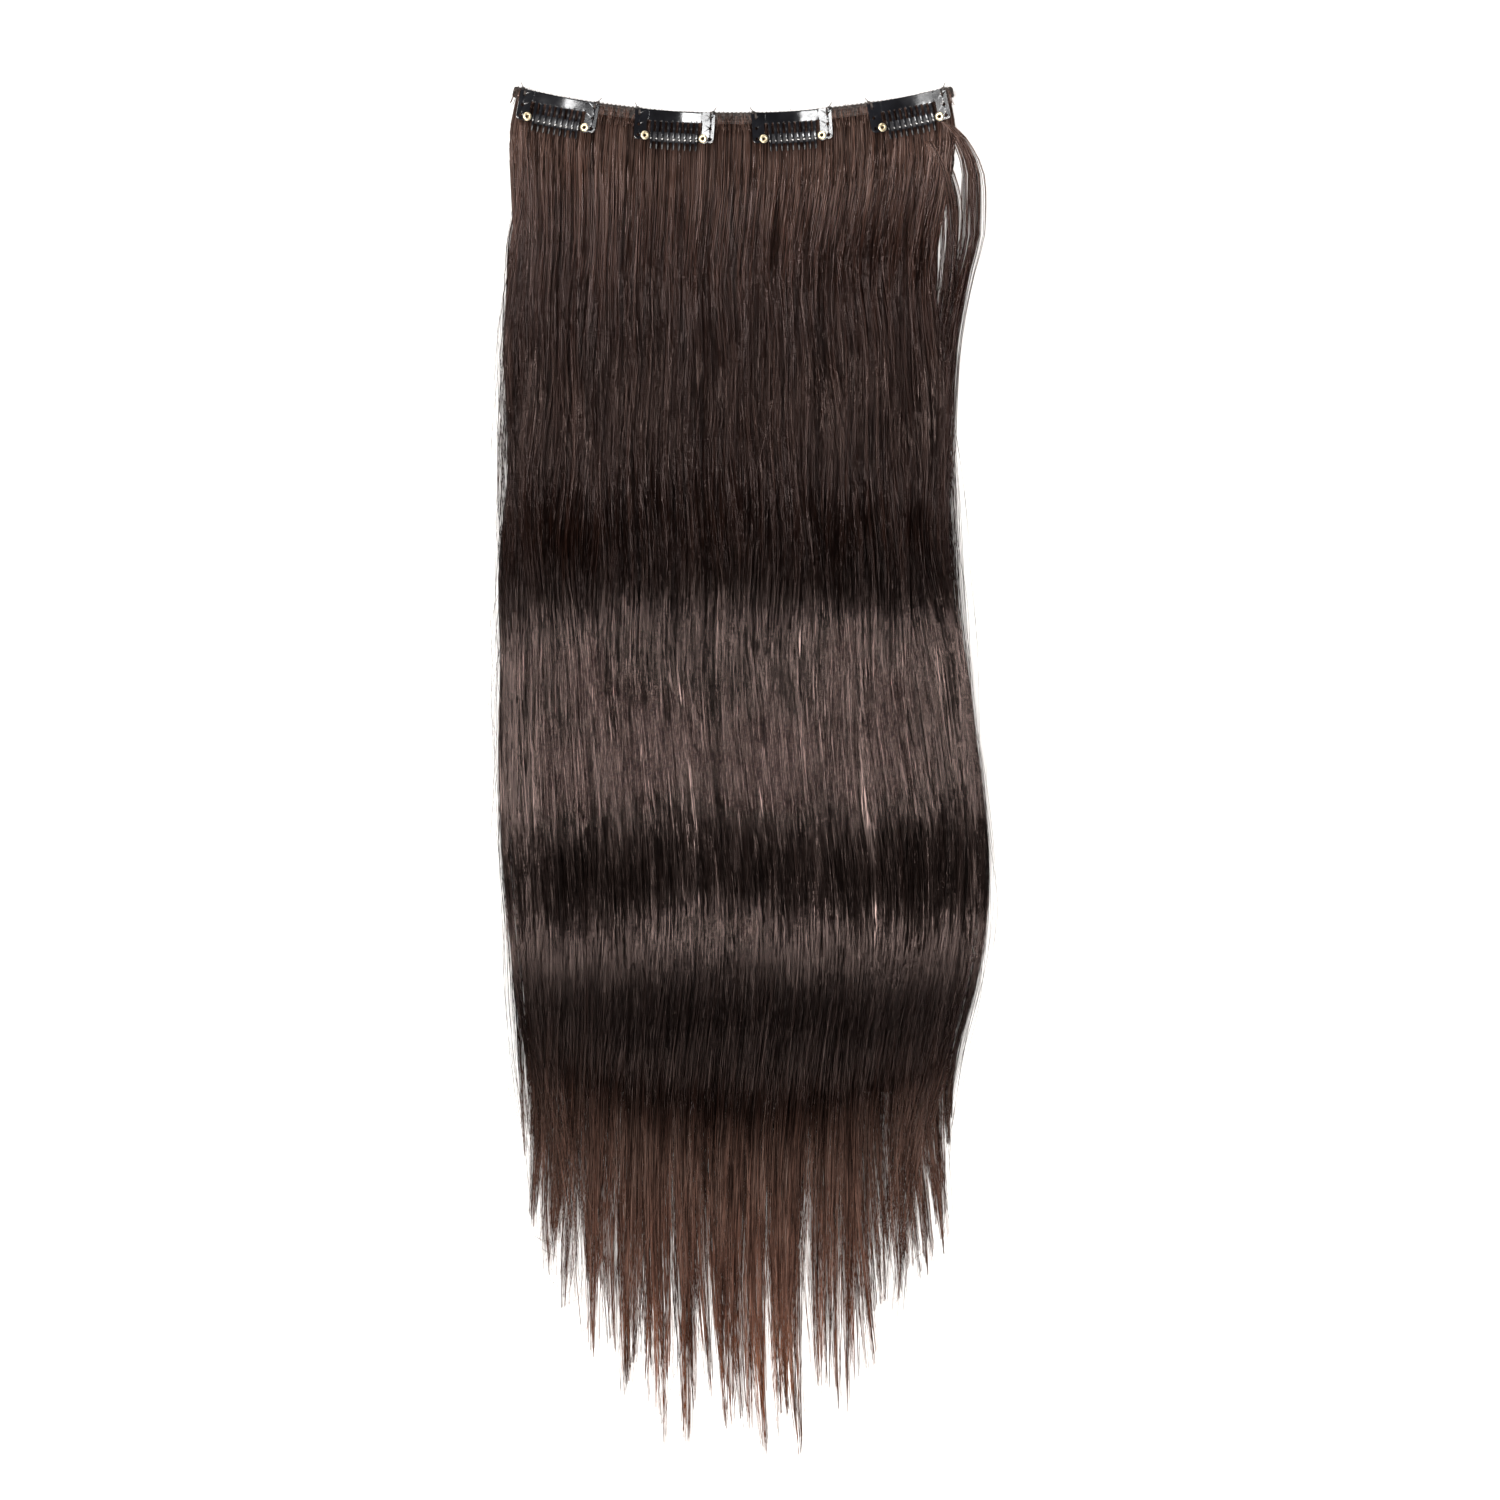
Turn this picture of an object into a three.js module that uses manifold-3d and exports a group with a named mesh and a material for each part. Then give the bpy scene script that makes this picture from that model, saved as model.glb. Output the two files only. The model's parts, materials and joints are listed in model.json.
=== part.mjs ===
// A clip-in hair extension: one wide weft with four snap-comb clips, lying on its back, clip side up.
// Millimetres. +Y runs from the hair's tips to the sewn edge, +Z up out of the surface that it lies on.
// The origin is the bottom centre of the bounding box.
import * as THREE from 'three';
import { mergeVertices } from 'three/addons/utils/BufferGeometryUtils.js';
import Module from 'manifold-3d';

const wasm = await Module();
wasm.setup();

// Weft: the sewn strip and the row of clips on it
const smileRadius = 360; // the strip lies in a shallow arc, ends towards +Y
const stripLength = 174;
const stripHeight = 4.5;
const stripThickness = 1.6;
const stripFold = 0.4; // rounding of the strip's folded edges
const clipCount = 4;
const clipPitch = 45.6;
const fitGap = 0.3; // clearance between pieces that touch

// Hair
const hairLength = 530; // longest lock, measured from the strip's lower edge
const curtainHalfWidth = 100;
const curtainHeight = 10.5; // the highest wave above the surface
const rootThickness = 1.4; // combed flat behind the strip and the clips
const ridgeDepth = 0.45; // each lock stands this proud of the parting beside it
const lockTipWidth = 0.9;
const lockTipThickness = 0.6;

// Clip: a stamped spring-steel leaf over a bar in a silicone sleeve
const leafThickness = 0.5;
const leafBowRadius = 42; // the leaf is bowed to hug a head, its ends towards the wearer
const combHalfWidth = 10.6;
const bandHeight = 4.2;
const toothCount = 9;
const toothPitch = 2.2;
const toothRootWidth = 1.35;
const toothTipWidth = 0.8;
const toothLength = 11.2;
const toothArch = 0.95; // how far a tooth rises over the sleeve
const earWidth = 5.2;
const earWaist = 0.35; // the ear is narrower below the band
const earCorner = 0.9;
const sewHoleRadius = 0.65;
const sewHoleInset = 1.75; // from the ear's outer edge
const sewHoleTop = 2.1;
const sewHoleCount = 3;
const rivetSpacing = 23.3;
const rivetBelowTop = 10.4;
const rivetHeadRadius = 1.75;
const rivetBarrelRadius = 0.95;
const rivetBoreRadius = 0.6;
const rivetHeadThickness = 0.4;
const rivetLobeRadius = 2.0;
const barWidth = 2.2;
const barThickness = 0.5;
const barEndRadius = 1.9;
const sleeveLength = 17.4;
const sleeveWidth = 4.0;
const sleeveWall = 0.4;

// The curtain's outline and waves, as shares of the sizes above: down of hairLength,
// left and right of curtainHalfWidth, top and under of curtainHeight.
const curtainRows = [
  { down: 0.023, left: -0.840, right: 0.800, top: 0.16, under: 0.00 },
  { down: 0.050, left: -0.820, right: 0.785, top: 0.34, under: 0.00 },
  { down: 0.090, left: -0.860, right: 0.785, top: 0.46, under: 0.00 },
  { down: 0.150, left: -0.905, right: 0.815, top: 0.50, under: 0.05 },
  { down: 0.220, left: -0.920, right: 0.850, top: 0.47, under: 0.03 },
  { down: 0.275, left: -0.915, right: 0.865, top: 0.44, under: 0.00 },
  { down: 0.340, left: -0.905, right: 0.885, top: 0.88, under: 0.22 },
  { down: 0.400, left: -0.910, right: 0.920, top: 1.00, under: 0.38 },
  { down: 0.490, left: -0.910, right: 0.965, top: 0.92, under: 0.34 },
  { down: 0.530, left: -0.905, right: 0.990, top: 0.82, under: 0.26 },
  { down: 0.585, left: -0.895, right: 1.000, top: 0.42, under: 0.02 },
  { down: 0.630, left: -0.885, right: 0.980, top: 0.42, under: 0.00 },
  { down: 0.700, left: -0.865, right: 0.900, top: 0.84, under: 0.26 },
  { down: 0.760, left: -0.830, right: 0.850, top: 0.74, under: 0.46 },
];
const tailRows = [ // the free locks' waves from there on
  { down: 0.760, top: 0.86, under: 0.36 },
  { down: 0.800, top: 0.84, under: 0.34 },
  { down: 0.860, top: 0.62, under: 0.16 },
  { down: 0.920, top: 0.38, under: 0.02 },
  { down: 1.000, top: 0.16, under: 0.00 },
];
const rootRow = { left: -0.985, right: 0.985 }; // of half the strip's length
const curtainShares = {
  settled: 0.11, // by here the curtain has left the strip's arc for its own outline
  unbowed: 0.09, // and the clips' bows no longer show in it
  parted: 0.64, // the free locks leave the curtain from here on
  parting: 0.88, // width of the curtain where they do
};

// Where each lock ends: across is a share of curtainHalfWidth, reach of hairLength.
const lockEnds = [
  { across: -0.833, reach: 0.766 },
  { across: -0.780, reach: 0.818 },
  { across: -0.700, reach: 0.856 },
  { across: -0.645, reach: 0.878 },
  { across: -0.570, reach: 0.916 },
  { across: -0.490, reach: 0.908 },
  { across: -0.430, reach: 0.946 },
  { across: -0.360, reach: 0.938 },
  { across: -0.285, reach: 0.981 },
  { across: -0.190, reach: 0.985 },
  { across: -0.095, reach: 0.945 },
  { across: -0.020, reach: 0.972 },
  { across: 0.045, reach: 0.962 },
  { across: 0.120, reach: 0.993 },
  { across: 0.195, reach: 0.963 },
  { across: 0.270, reach: 1.000 },
  { across: 0.360, reach: 0.938 },
  { across: 0.455, reach: 0.960 },
  { across: 0.525, reach: 0.932 },
  { across: 0.590, reach: 0.880 },
  { across: 0.665, reach: 0.862 },
  { across: 0.745, reach: 0.854 },
  { across: 0.805, reach: 0.826 },
  { across: 0.860, reach: 0.760 },
];
const lockRows = [ // width as a share of the locks' spacing, thick of the curtain's own thickness
  { along: 0.00, width: 1.05, thick: 0.55 },
  { along: 0.30, width: 1.35, thick: 1.05 },
  { along: 0.55, width: 1.35, thick: 1.05 },
  { along: 0.76, width: 1.10, thick: 0.90 },
  { along: 0.91, width: 0.55, thick: 0.60 },
  { along: 1.00, width: 0.00, thick: 0.00 },
];

// Side locks that bulge away from the curtain below the end clips: across and out as shares of
// curtainHalfWidth, down of hairLength, width of curtainHalfWidth.
const sideLocks = [
  {
    path: [[0.815, -0.004], [0.890, 0.010], [0.945, 0.040], [0.945, 0.075], [0.895, 0.120],
      [0.850, 0.175], [0.830, 0.240]],
    width: 0.055,
  },
  {
    path: [[0.775, 0.012], [0.835, 0.035], [0.865, 0.070], [0.850, 0.115], [0.810, 0.175],
      [0.800, 0.240]],
    width: 0.045,
  },
  {
    path: [[-0.835, -0.002], [-0.828, 0.030], [-0.838, 0.060], [-0.868, 0.095],
      [-0.880, 0.150]],
    width: 0.035,
  },
];
const sideLockThickness = 2.4;
const sideLockLift = 0.2;

const colours = {
  hair: 0x3a2925,
  strip: 0x2b2523,
  blackSteel: 0x17171b,
  silicone: 0x202022,
  brass: 0xd9cba6,
};

const finishes = {
  hair: new THREE.MeshStandardMaterial({ color: colours.hair, roughness: 0.45, metalness: 0 }),
  strip: new THREE.MeshStandardMaterial({ color: colours.strip, roughness: 0.9, metalness: 0 }),
  blackSteel: new THREE.MeshStandardMaterial({ color: colours.blackSteel, roughness: 0.22, metalness: 0.4 }),
  silicone: new THREE.MeshStandardMaterial({ color: colours.silicone, roughness: 0.6, metalness: 0 }),
  brass: new THREE.MeshStandardMaterial({ color: colours.brass, roughness: 0.3, metalness: 0.9 }),
};

// Heights that follow from the sizes above
const stripUnderside = rootThickness + fitGap;
const stripTop = stripUnderside + stripThickness; // a clip's own zero height
const leafUnderside = fitGap;
const barTop = leafUnderside - fitGap;
const barUnderside = barTop - barThickness;
const earStart = combHalfWidth + fitGap;
const earSlope = Math.atan(earStart / leafBowRadius);
const clipHalfWidth = earStart + earWidth;

const mix = (a, b, t) => a + (b - a) * t;
const clamp01 = (t) => Math.min(1, Math.max(0, t));
const smooth = (t) => clamp01(t) ** 2 * (3 - 2 * clamp01(t));

// Height of the bowed leaf at x: an arc between the ears, straight beyond
function bow(x) {
  const inner = Math.min(Math.abs(x), earStart);
  return inner ** 2 / (2 * leafBowRadius) + (Math.abs(x) - inner) * Math.tan(earSlope);
}

// The strip rises with each clip's bow and stays up between two clips
function stripRise(along) {
  const nearest = clipCentres().reduce((a, b) => (Math.abs(along - a) < Math.abs(along - b) ? a : b));
  return bow(Math.min(Math.abs(along - nearest), clipHalfWidth));
}

function clipCentres() {
  return Array.from({ length: clipCount }, (_, i) => (i - (clipCount - 1) / 2) * clipPitch);
}

// A point on the strip's arc: along the strip, and below its upper edge
function onArc(along, below) {
  const angle = along / smileRadius;
  const radius = smileRadius + below;
  return [radius * Math.sin(angle), smileRadius - radius * Math.cos(angle)];
}

function geometryFrom(points, triangles) {
  const geometry = new THREE.BufferGeometry();
  geometry.setAttribute('position', new THREE.Float32BufferAttribute(points.flat(), 3));
  geometry.setIndex(triangles.flat());
  return geometry;
}

// One closed body from rings of points, each ring running anticlockwise seen from the last one
function loft(rings, startCap, endCap) {
  const count = rings[0].length;
  const triangles = [];
  for (let r = 0; r + 1 < rings.length; r++) {
    for (let i = 0; i < count; i++) {
      const j = (i + 1) % count;
      const [a, b, c, d] = [r * count + i, r * count + j, (r + 1) * count + j, (r + 1) * count + i];
      triangles.push([a, b, c], [a, c, d]);
    }
  }
  const last = (rings.length - 1) * count;
  startCap.forEach(([a, b, c]) => triangles.push([a, c, b]));
  endCap.forEach(([a, b, c]) => triangles.push([last + a, last + b, last + c]));
  return geometryFrom(rings.flat(), triangles);
}

function fanCap(count) {
  return Array.from({ length: count - 2 }, (_, i) => [0, i + 1, i + 2]);
}

function toSolid(geometry) {
  const bare = geometry.clone();
  bare.deleteAttribute('normal');
  bare.deleteAttribute('uv');
  const merged = mergeVertices(bare, 1e-4);
  return new wasm.Manifold(new wasm.Mesh({
    numProp: 3,
    vertProperties: new Float32Array(merged.attributes.position.array),
    triVerts: new Uint32Array(merged.index.array),
  }));
}

function fromSolid(solid) {
  const mesh = solid.getMesh();
  const geometry = new THREE.BufferGeometry();
  geometry.setAttribute('position', new THREE.BufferAttribute(mesh.vertProperties, 3));
  geometry.setIndex(new THREE.BufferAttribute(mesh.triVerts, 1));
  return geometry;
}

function named(name, geometry, finish) {
  const mesh = new THREE.Mesh(geometry, finish);
  mesh.name = name;
  return mesh;
}

function arc(x, y, radius, from, to, steps) {
  return Array.from({ length: steps + 1 }, (_, i) => {
    const angle = mix(from, to, i / steps);
    return new THREE.Vector2(x + radius * Math.cos(angle), y + radius * Math.sin(angle));
  });
}

function roundHole(x, y, radius, sides) {
  return new THREE.Path(arc(x, y, radius, 0, -2 * Math.PI, sides).slice(0, sides));
}

// A bent plate made of cells: place(c, r) gives a corner's x, y and underside height
function cellPlate(columns, rows, isSolid, place, thickness) {
  const points = [];
  const index = new Map();
  const corner = (c, r, upper) => {
    const key = `${c},${r},${upper}`;
    if (!index.has(key)) {
      const [x, y, z] = place(c, r);
      index.set(key, points.length);
      points.push([x, y, z + (upper ? thickness : 0)]);
    }
    return index.get(key);
  };
  const solidAt = (c, r) => c >= 0 && r >= 0 && c < columns && r < rows && isSolid(c, r);
  const triangles = [];
  const quad = (a, b, c, d) => triangles.push([a, b, c], [a, c, d]);
  for (let c = 0; c < columns; c++) {
    for (let r = 0; r < rows; r++) {
      if (!isSolid(c, r)) continue;
      const round = [[c, r], [c, r + 1], [c + 1, r + 1], [c + 1, r]];
      quad(...round.map(([i, j]) => corner(i, j, true)));
      quad(...round.map(([i, j]) => corner(i, j, false)).reverse());
      [[c - 1, r], [c, r + 1], [c + 1, r], [c, r - 1]].forEach(([nc, nr], side) => {
        if (solidAt(nc, nr)) return;
        const [p, q] = [round[side], round[(side + 1) % 4]];
        quad(corner(...q, true), corner(...p, true), corner(...p, false), corner(...q, false));
      });
    }
  }
  return geometryFrom(points, triangles);
}

function stripSolid() {
  const stops = [0, 0.38, 0.7, 1].map((share) => share * clipHalfWidth);
  const beside = [...stops.slice(1).map((x) => -x).reverse(), ...stops];
  const half = stripLength / 2;
  const stations = [-half, ...clipCentres().flatMap((centre) => beside.map((x) => centre + x)), half];
  const section = [
    [stripHeight, stripFold], [stripHeight - stripFold, 0], [stripFold, 0], [0, stripFold],
    [0, stripThickness - stripFold], [stripFold, stripThickness],
    [stripHeight - stripFold, stripThickness], [stripHeight, stripThickness - stripFold],
  ];
  const rings = stations.map((along) => section.map(([below, up]) => (
    [...onArc(along, below), stripUnderside + stripRise(along) + up])));
  return loft(rings, fanCap(section.length), fanCap(section.length));
}

// Reads a table at a share between its rows
function tableAt(rows, key, share, column) {
  const next = rows.findIndex((row) => row[key] >= share);
  if (next <= 0) return (next === 0 ? rows[0] : rows[rows.length - 1])[column];
  const [a, b] = [rows[next - 1], rows[next]];
  return mix(a[column], b[column], (share - a[key]) / (b[key] - a[key]));
}

// A point of the curtain seen from above: across runs from -1 to 1, down from 0 to 1
function curtainPlan(across, down) {
  const rootAlong = (stripLength / 2) * (across < 0 ? -across * rootRow.left : across * rootRow.right);
  const [rootX, rootY] = onArc(rootAlong, stripHeight + down * hairLength);
  const left = tableAt(curtainRows, 'down', down, 'left');
  const right = tableAt(curtainRows, 'down', down, 'right');
  const settled = smooth(down / curtainShares.settled);
  return [
    mix(rootX, curtainHalfWidth * mix(left, right, (across + 1) / 2), settled),
    mix(rootY, -stripHeight - down * hairLength, settled),
  ];
}

// The curtain as far as the locks part: one body whose upper side is ridged, a ridge to each lock
function curtainBody() {
  const locks = lockEnds.length;
  const ringAt = (down, top, under) => {
    const bowed = 1 - smooth(down / curtainShares.unbowed);
    const upper = [];
    const lower = [];
    for (let i = 0; i <= 2 * locks; i++) {
      const across = i / locks - 1;
      const [x, y] = curtainPlan(across, down);
      const rise = bowed * stripRise((across * stripLength) / 2);
      const thinned = 1 - 0.6 * Math.abs(across) ** 8;
      const ridge = i % 2 ? 0 : -ridgeDepth * (1 - bowed);
      upper.push([x, y, under + (top - under) * thinned + rise + ridge]);
      if (i % 4 === 0) lower.push([x, y, under]);
    }
    return [...lower, ...upper.reverse()];
  };
  const rootDown = (fitGap - stripHeight) / hairLength;
  const rings = [
    ringAt(rootDown, rootThickness, 0),
    ringAt(0, rootThickness, 0),
    ...curtainRows.map((row) => ringAt(row.down, row.top * curtainHeight, row.under * curtainHeight)),
  ];
  const cap = [];
  const ringEnd = rings[0].length - 1;
  for (let pair = 0; pair < locks / 2; pair++) {
    const above = ringEnd - 4 * pair;
    cap.push([pair, pair + 1, above - 2], [pair + 1, above - 3, above - 2], [pair + 1, above - 4, above - 3]);
    cap.push([pair, above - 2, above - 1], [pair, above - 1, above]);
  }
  return loft(rings, cap, cap);
}

// A flattened six-sided lock through stations along -Y, with half its width and half its thickness at each
function lockBody(stations) {
  const rings = stations.map(({ x, y, z, halfWidth, halfThick }) => [
    [x - halfWidth, y, z], [x - halfWidth / 2, y, z - halfThick], [x + halfWidth / 2, y, z - halfThick],
    [x + halfWidth, y, z], [x + halfWidth / 2, y, z + halfThick], [x - halfWidth / 2, y, z + halfThick],
  ]);
  return loft(rings, fanCap(6), fanCap(6));
}

function freeLock(lock, number) {
  const spacing = (2 * curtainHalfWidth * curtainShares.parting) / lockEnds.length;
  const across = (2 * number + 1) / lockEnds.length - 1;
  const waves = [...curtainRows.slice(0, -1), ...tailRows];
  return lockBody(lockRows.map((row) => {
    const down = mix(curtainShares.parted, lock.reach, row.along);
    const top = tableAt(waves, 'down', down, 'top') * curtainHeight;
    const under = tableAt(waves, 'down', down, 'under') * curtainHeight;
    const halfThick = Math.max((top - under) * row.thick, lockTipThickness) / 2;
    const middle = ((top + under) / 2) * (1 - row.along ** 3);
    const [leaving] = curtainPlan(across, Math.min(down, curtainRows.at(-1).down));
    return {
      x: mix(leaving, lock.across * curtainHalfWidth, smooth(row.along)),
      y: -stripHeight - down * hairLength,
      z: Math.max(middle, halfThick),
      halfWidth: Math.max(row.width * spacing, lockTipWidth) / 2,
      halfThick,
    };
  }));
}

function sideLock({ path, width }) {
  const curve = new THREE.CatmullRomCurve3(path.map(([across, down]) => (
    new THREE.Vector3(across * curtainHalfWidth, -stripHeight - down * hairLength, 0))));
  const steps = 2 * (path.length - 1);
  return lockBody(curve.getPoints(steps).map((point, i) => {
    const ends = 0.45 + 0.55 * Math.sin(Math.PI * clamp01((i / steps) * 0.9 + 0.1));
    return {
      x: point.x,
      y: point.y,
      z: sideLockThickness / 2 + sideLockLift,
      halfWidth: (width * curtainHalfWidth * ends) / 2,
      halfThick: sideLockThickness / 2,
    };
  }));
}

function hairSolid() {
  const pieces = [curtainBody(), ...lockEnds.map(freeLock), ...sideLocks.map(sideLock)];
  return fromSolid(pieces.map(toSolid).reduce((whole, piece) => whole.add(piece)));
}

function combSolid() {
  const archRows = [ // shares of the tooth's length, and of its arch
    { along: 0, lift: 0 }, { along: 0.18, lift: 0.35 }, { along: 0.38, lift: 0.92 },
    { along: 0.6, lift: 1 }, { along: 0.82, lift: 0.4 }, { along: 1, lift: -0.5 },
  ];
  const toothCentres = Array.from({ length: toothCount }, (_, i) => (i - (toothCount - 1) / 2) * toothPitch);
  const columnAt = (c, along) => {
    if (c === 0) return -combHalfWidth;
    if (c === 2 * toothCount + 1) return combHalfWidth;
    const half = mix(toothRootWidth, toothTipWidth, along) / 2;
    return toothCentres[Math.floor((c - 1) / 2)] + (c % 2 ? -half : half);
  };
  return cellPlate(
    2 * toothCount + 1,
    archRows.length,
    (c, r) => r === 0 || c % 2 === 1,
    (c, r) => {
      const row = r === 0 ? { along: 0, lift: 0 } : archRows[r - 1];
      const x = columnAt(c, row.along);
      const y = r === 0 ? 0 : -bandHeight - row.along * toothLength;
      return [x, y, leafUnderside + bow(x) + row.lift * toothArch];
    },
    leafThickness,
  );
}

// In the ear's own flat frame: x outwards from the comb, y down from the upper edge
function earSolid(side) {
  const rivetX = rivetInEar();
  const outerHoleX = earWidth - sewHoleInset;
  const turn = Math.PI / 180;
  const outline = [
    new THREE.Vector2(0, 0),
    new THREE.Vector2(0, -bandHeight),
    new THREE.Vector2(earWaist, -bandHeight - earWaist),
    ...arc(rivetX, -rivetBelowTop, rivetLobeRadius, 105 * turn, 290 * turn, 5),
    ...arc(outerHoleX, -rivetBelowTop, sewHoleInset, -125 * turn, 0, 3),
    ...arc(earWidth - earCorner, -earCorner, earCorner, 0, 90 * turn, 2),
  ];
  const shape = new THREE.Shape(outline);
  const holeStep = (rivetBelowTop - sewHoleTop) / (sewHoleCount - 1);
  for (let i = 0; i < sewHoleCount; i++) {
    shape.holes.push(roundHole(outerHoleX, -sewHoleTop - i * holeStep, sewHoleRadius, 6));
  }
  shape.holes.push(roundHole(rivetX, -rivetBelowTop, rivetBarrelRadius + fitGap, 8));
  const geometry = new THREE.ExtrudeGeometry(shape, { depth: leafThickness, bevelEnabled: false });
  geometry.translate(0, 0, leafUnderside);
  if (side > 0) return fromSolid(toSolid(geometry));
  return fromSolid(toSolid(geometry).mirror([1, 0, 0]));
}

function rivetInEar() {
  return (rivetSpacing / 2 - earStart) / Math.cos(earSlope);
}

function barSolid() {
  const reach = rivetSpacing / 2;
  const xs = [-reach - barEndRadius, -reach, -earStart, -earStart / 2, 0, earStart / 2, earStart, reach,
    reach + barEndRadius];
  const halfAt = (x) => (Math.abs(x) > reach ? barEndRadius * 0.55
    : Math.abs(x) === reach ? barEndRadius : barWidth / 2);
  const plate = cellPlate(
    xs.length - 1,
    1,
    () => true,
    (c, r) => {
      const x = xs[c];
      return [x, -rivetBelowTop + halfAt(x) * (r ? -1 : 1), barUnderside + bow(x)];
    },
    barThickness,
  );
  const hole = new THREE.CylinderGeometry(rivetBarrelRadius + fitGap, rivetBarrelRadius + fitGap, 6, 8);
  hole.rotateX(Math.PI / 2);
  const holes = [-1, 1].map((side) => {
    const placed = hole.clone();
    placed.rotateY(-side * earSlope);
    placed.translate(side * reach, -rivetBelowTop, bow(reach));
    return toSolid(placed);
  });
  return fromSolid(holes.reduce((solid, cutter) => solid.subtract(cutter), toSolid(plate)));
}

// A flattened tube round the bar, following its bow
function sleeveSolid() {
  const boreHalf = [barWidth / 2 + fitGap, barThickness / 2 + fitGap];
  const outerHalf = [sleeveWidth / 2, boreHalf[1] + sleeveWall];
  const middle = (barTop + barUnderside) / 2;
  const hexagon = ([wide, high]) => [
    [-wide, 0], [-wide * 0.6, -high], [wide * 0.6, -high], [wide, 0], [wide * 0.6, high], [-wide * 0.6, high],
  ];
  const slot = ([wide, high]) => [
    [-wide, 0], [-wide, -high], [wide, -high], [wide, 0], [wide, high], [-wide, high],
  ];
  const tube = (section, length) => {
    const steps = 5;
    const rings = Array.from({ length: steps + 1 }, (_, i) => {
      const x = (i / steps - 0.5) * length;
      return section.map(([y, z]) => [x, y - rivetBelowTop, middle + bow(x) + z]);
    });
    return toSolid(loft(rings, fanCap(6), fanCap(6)));
  };
  return fromSolid(tube(hexagon(outerHalf), sleeveLength).subtract(tube(slot(boreHalf), sleeveLength + 2)));
}

// A tubular rivet, head on the ear and rolled end under the bar, about its own axis
function rivetSolid() {
  const top = leafUnderside + leafThickness + fitGap;
  const bottom = barUnderside - fitGap;
  const profile = [
    [rivetBoreRadius, bottom - rivetHeadThickness], [rivetHeadRadius * 0.85, bottom - rivetHeadThickness],
    [rivetHeadRadius * 0.85, bottom], [rivetBarrelRadius, bottom], [rivetBarrelRadius, top],
    [rivetHeadRadius, top], [rivetHeadRadius * 0.8, top + rivetHeadThickness],
    [rivetBoreRadius, top + rivetHeadThickness * 0.7],
  ].map(([radius, height]) => new THREE.Vector2(radius, height));
  const geometry = new THREE.LatheGeometry([...profile, profile[0].clone()], 8);
  geometry.rotateX(Math.PI / 2);
  return fromSolid(toSolid(geometry));
}

function clip(number, along) {
  const group = new THREE.Group();
  const [x, y] = onArc(along, 0);
  group.position.set(x, y, stripTop);
  group.rotation.z = along / smileRadius;
  group.add(named(`clip_${number}_comb`, combSolid(), finishes.blackSteel));
  group.add(named(`clip_${number}_bar`, barSolid(), finishes.blackSteel));
  group.add(named(`clip_${number}_sleeve`, sleeveSolid(), finishes.silicone));
  [['left', -1], ['right', 1]].forEach(([word, side]) => {
    const ear = new THREE.Group();
    ear.position.set(side * earStart, 0, bow(earStart));
    ear.rotation.y = -side * earSlope;
    ear.add(named(`clip_${number}_ear_${word}`, earSolid(side), finishes.blackSteel));
    const rivet = named(`clip_${number}_rivet_${word}`, rivetSolid(), finishes.brass);
    rivet.position.set(side * rivetInEar(), -rivetBelowTop, 0);
    ear.add(rivet);
    group.add(ear);
  });
  return group;
}

const extension = new THREE.Group();
extension.add(named('hair_curtain', hairSolid(), finishes.hair));
extension.add(named('weft_strip', stripSolid(), finishes.strip));
clipCentres().forEach((along, i) => extension.add(clip(i + 1, along)));

// Brings the bottom centre of the bounding box to the origin
extension.updateMatrixWorld(true);
const box = new THREE.Box3().setFromObject(extension, true);
extension.position.set(-(box.min.x + box.max.x) / 2, -(box.min.y + box.max.y) / 2, -box.min.z);

export default extension;
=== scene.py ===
import json
import math

import bmesh
import bpy
import numpy as np
from mathutils import Matrix, Vector


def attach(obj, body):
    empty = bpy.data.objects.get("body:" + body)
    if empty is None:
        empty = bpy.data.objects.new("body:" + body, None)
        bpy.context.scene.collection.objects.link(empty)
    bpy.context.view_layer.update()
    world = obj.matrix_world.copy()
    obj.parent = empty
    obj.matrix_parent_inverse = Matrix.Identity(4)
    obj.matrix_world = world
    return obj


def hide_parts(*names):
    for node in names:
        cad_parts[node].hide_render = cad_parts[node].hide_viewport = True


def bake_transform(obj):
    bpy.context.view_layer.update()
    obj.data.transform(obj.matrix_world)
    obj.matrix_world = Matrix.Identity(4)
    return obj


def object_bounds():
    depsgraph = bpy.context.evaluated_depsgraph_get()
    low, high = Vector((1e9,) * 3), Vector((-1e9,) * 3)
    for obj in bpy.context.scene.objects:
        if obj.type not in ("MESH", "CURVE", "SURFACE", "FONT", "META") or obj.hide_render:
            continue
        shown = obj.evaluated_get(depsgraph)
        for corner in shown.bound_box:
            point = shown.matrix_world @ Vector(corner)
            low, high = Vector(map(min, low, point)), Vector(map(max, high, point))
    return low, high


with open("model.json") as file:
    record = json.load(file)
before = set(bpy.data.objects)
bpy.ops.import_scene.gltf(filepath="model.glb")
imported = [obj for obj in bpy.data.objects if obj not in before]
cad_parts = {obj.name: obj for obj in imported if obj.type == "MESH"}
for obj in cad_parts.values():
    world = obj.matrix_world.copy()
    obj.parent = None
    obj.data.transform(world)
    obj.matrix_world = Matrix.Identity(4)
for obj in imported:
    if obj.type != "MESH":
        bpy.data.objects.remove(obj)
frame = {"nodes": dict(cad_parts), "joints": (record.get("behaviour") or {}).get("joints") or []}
cadLow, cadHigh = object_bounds()
chance = np.random.default_rng(22)
mm = 0.001

# Sizes that the solids were made to, in millimetres
weft = {
    "smileRadius": 360.0,
    "stripLength": 174.0,
    "stripHeight": 4.5,
    "stripThickness": 1.6,
    "rootThickness": 1.4,
    "gap": 0.3,
    "hairLength": 530.0,
    "halfWidth": 100.0,
    "height": 10.5,
    "rootSpan": 0.985,  # of half the strip
    "settled": 0.11,  # shares of the hair's length
    "unbowed": 0.09,
    "parted": 0.64,
}


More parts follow.
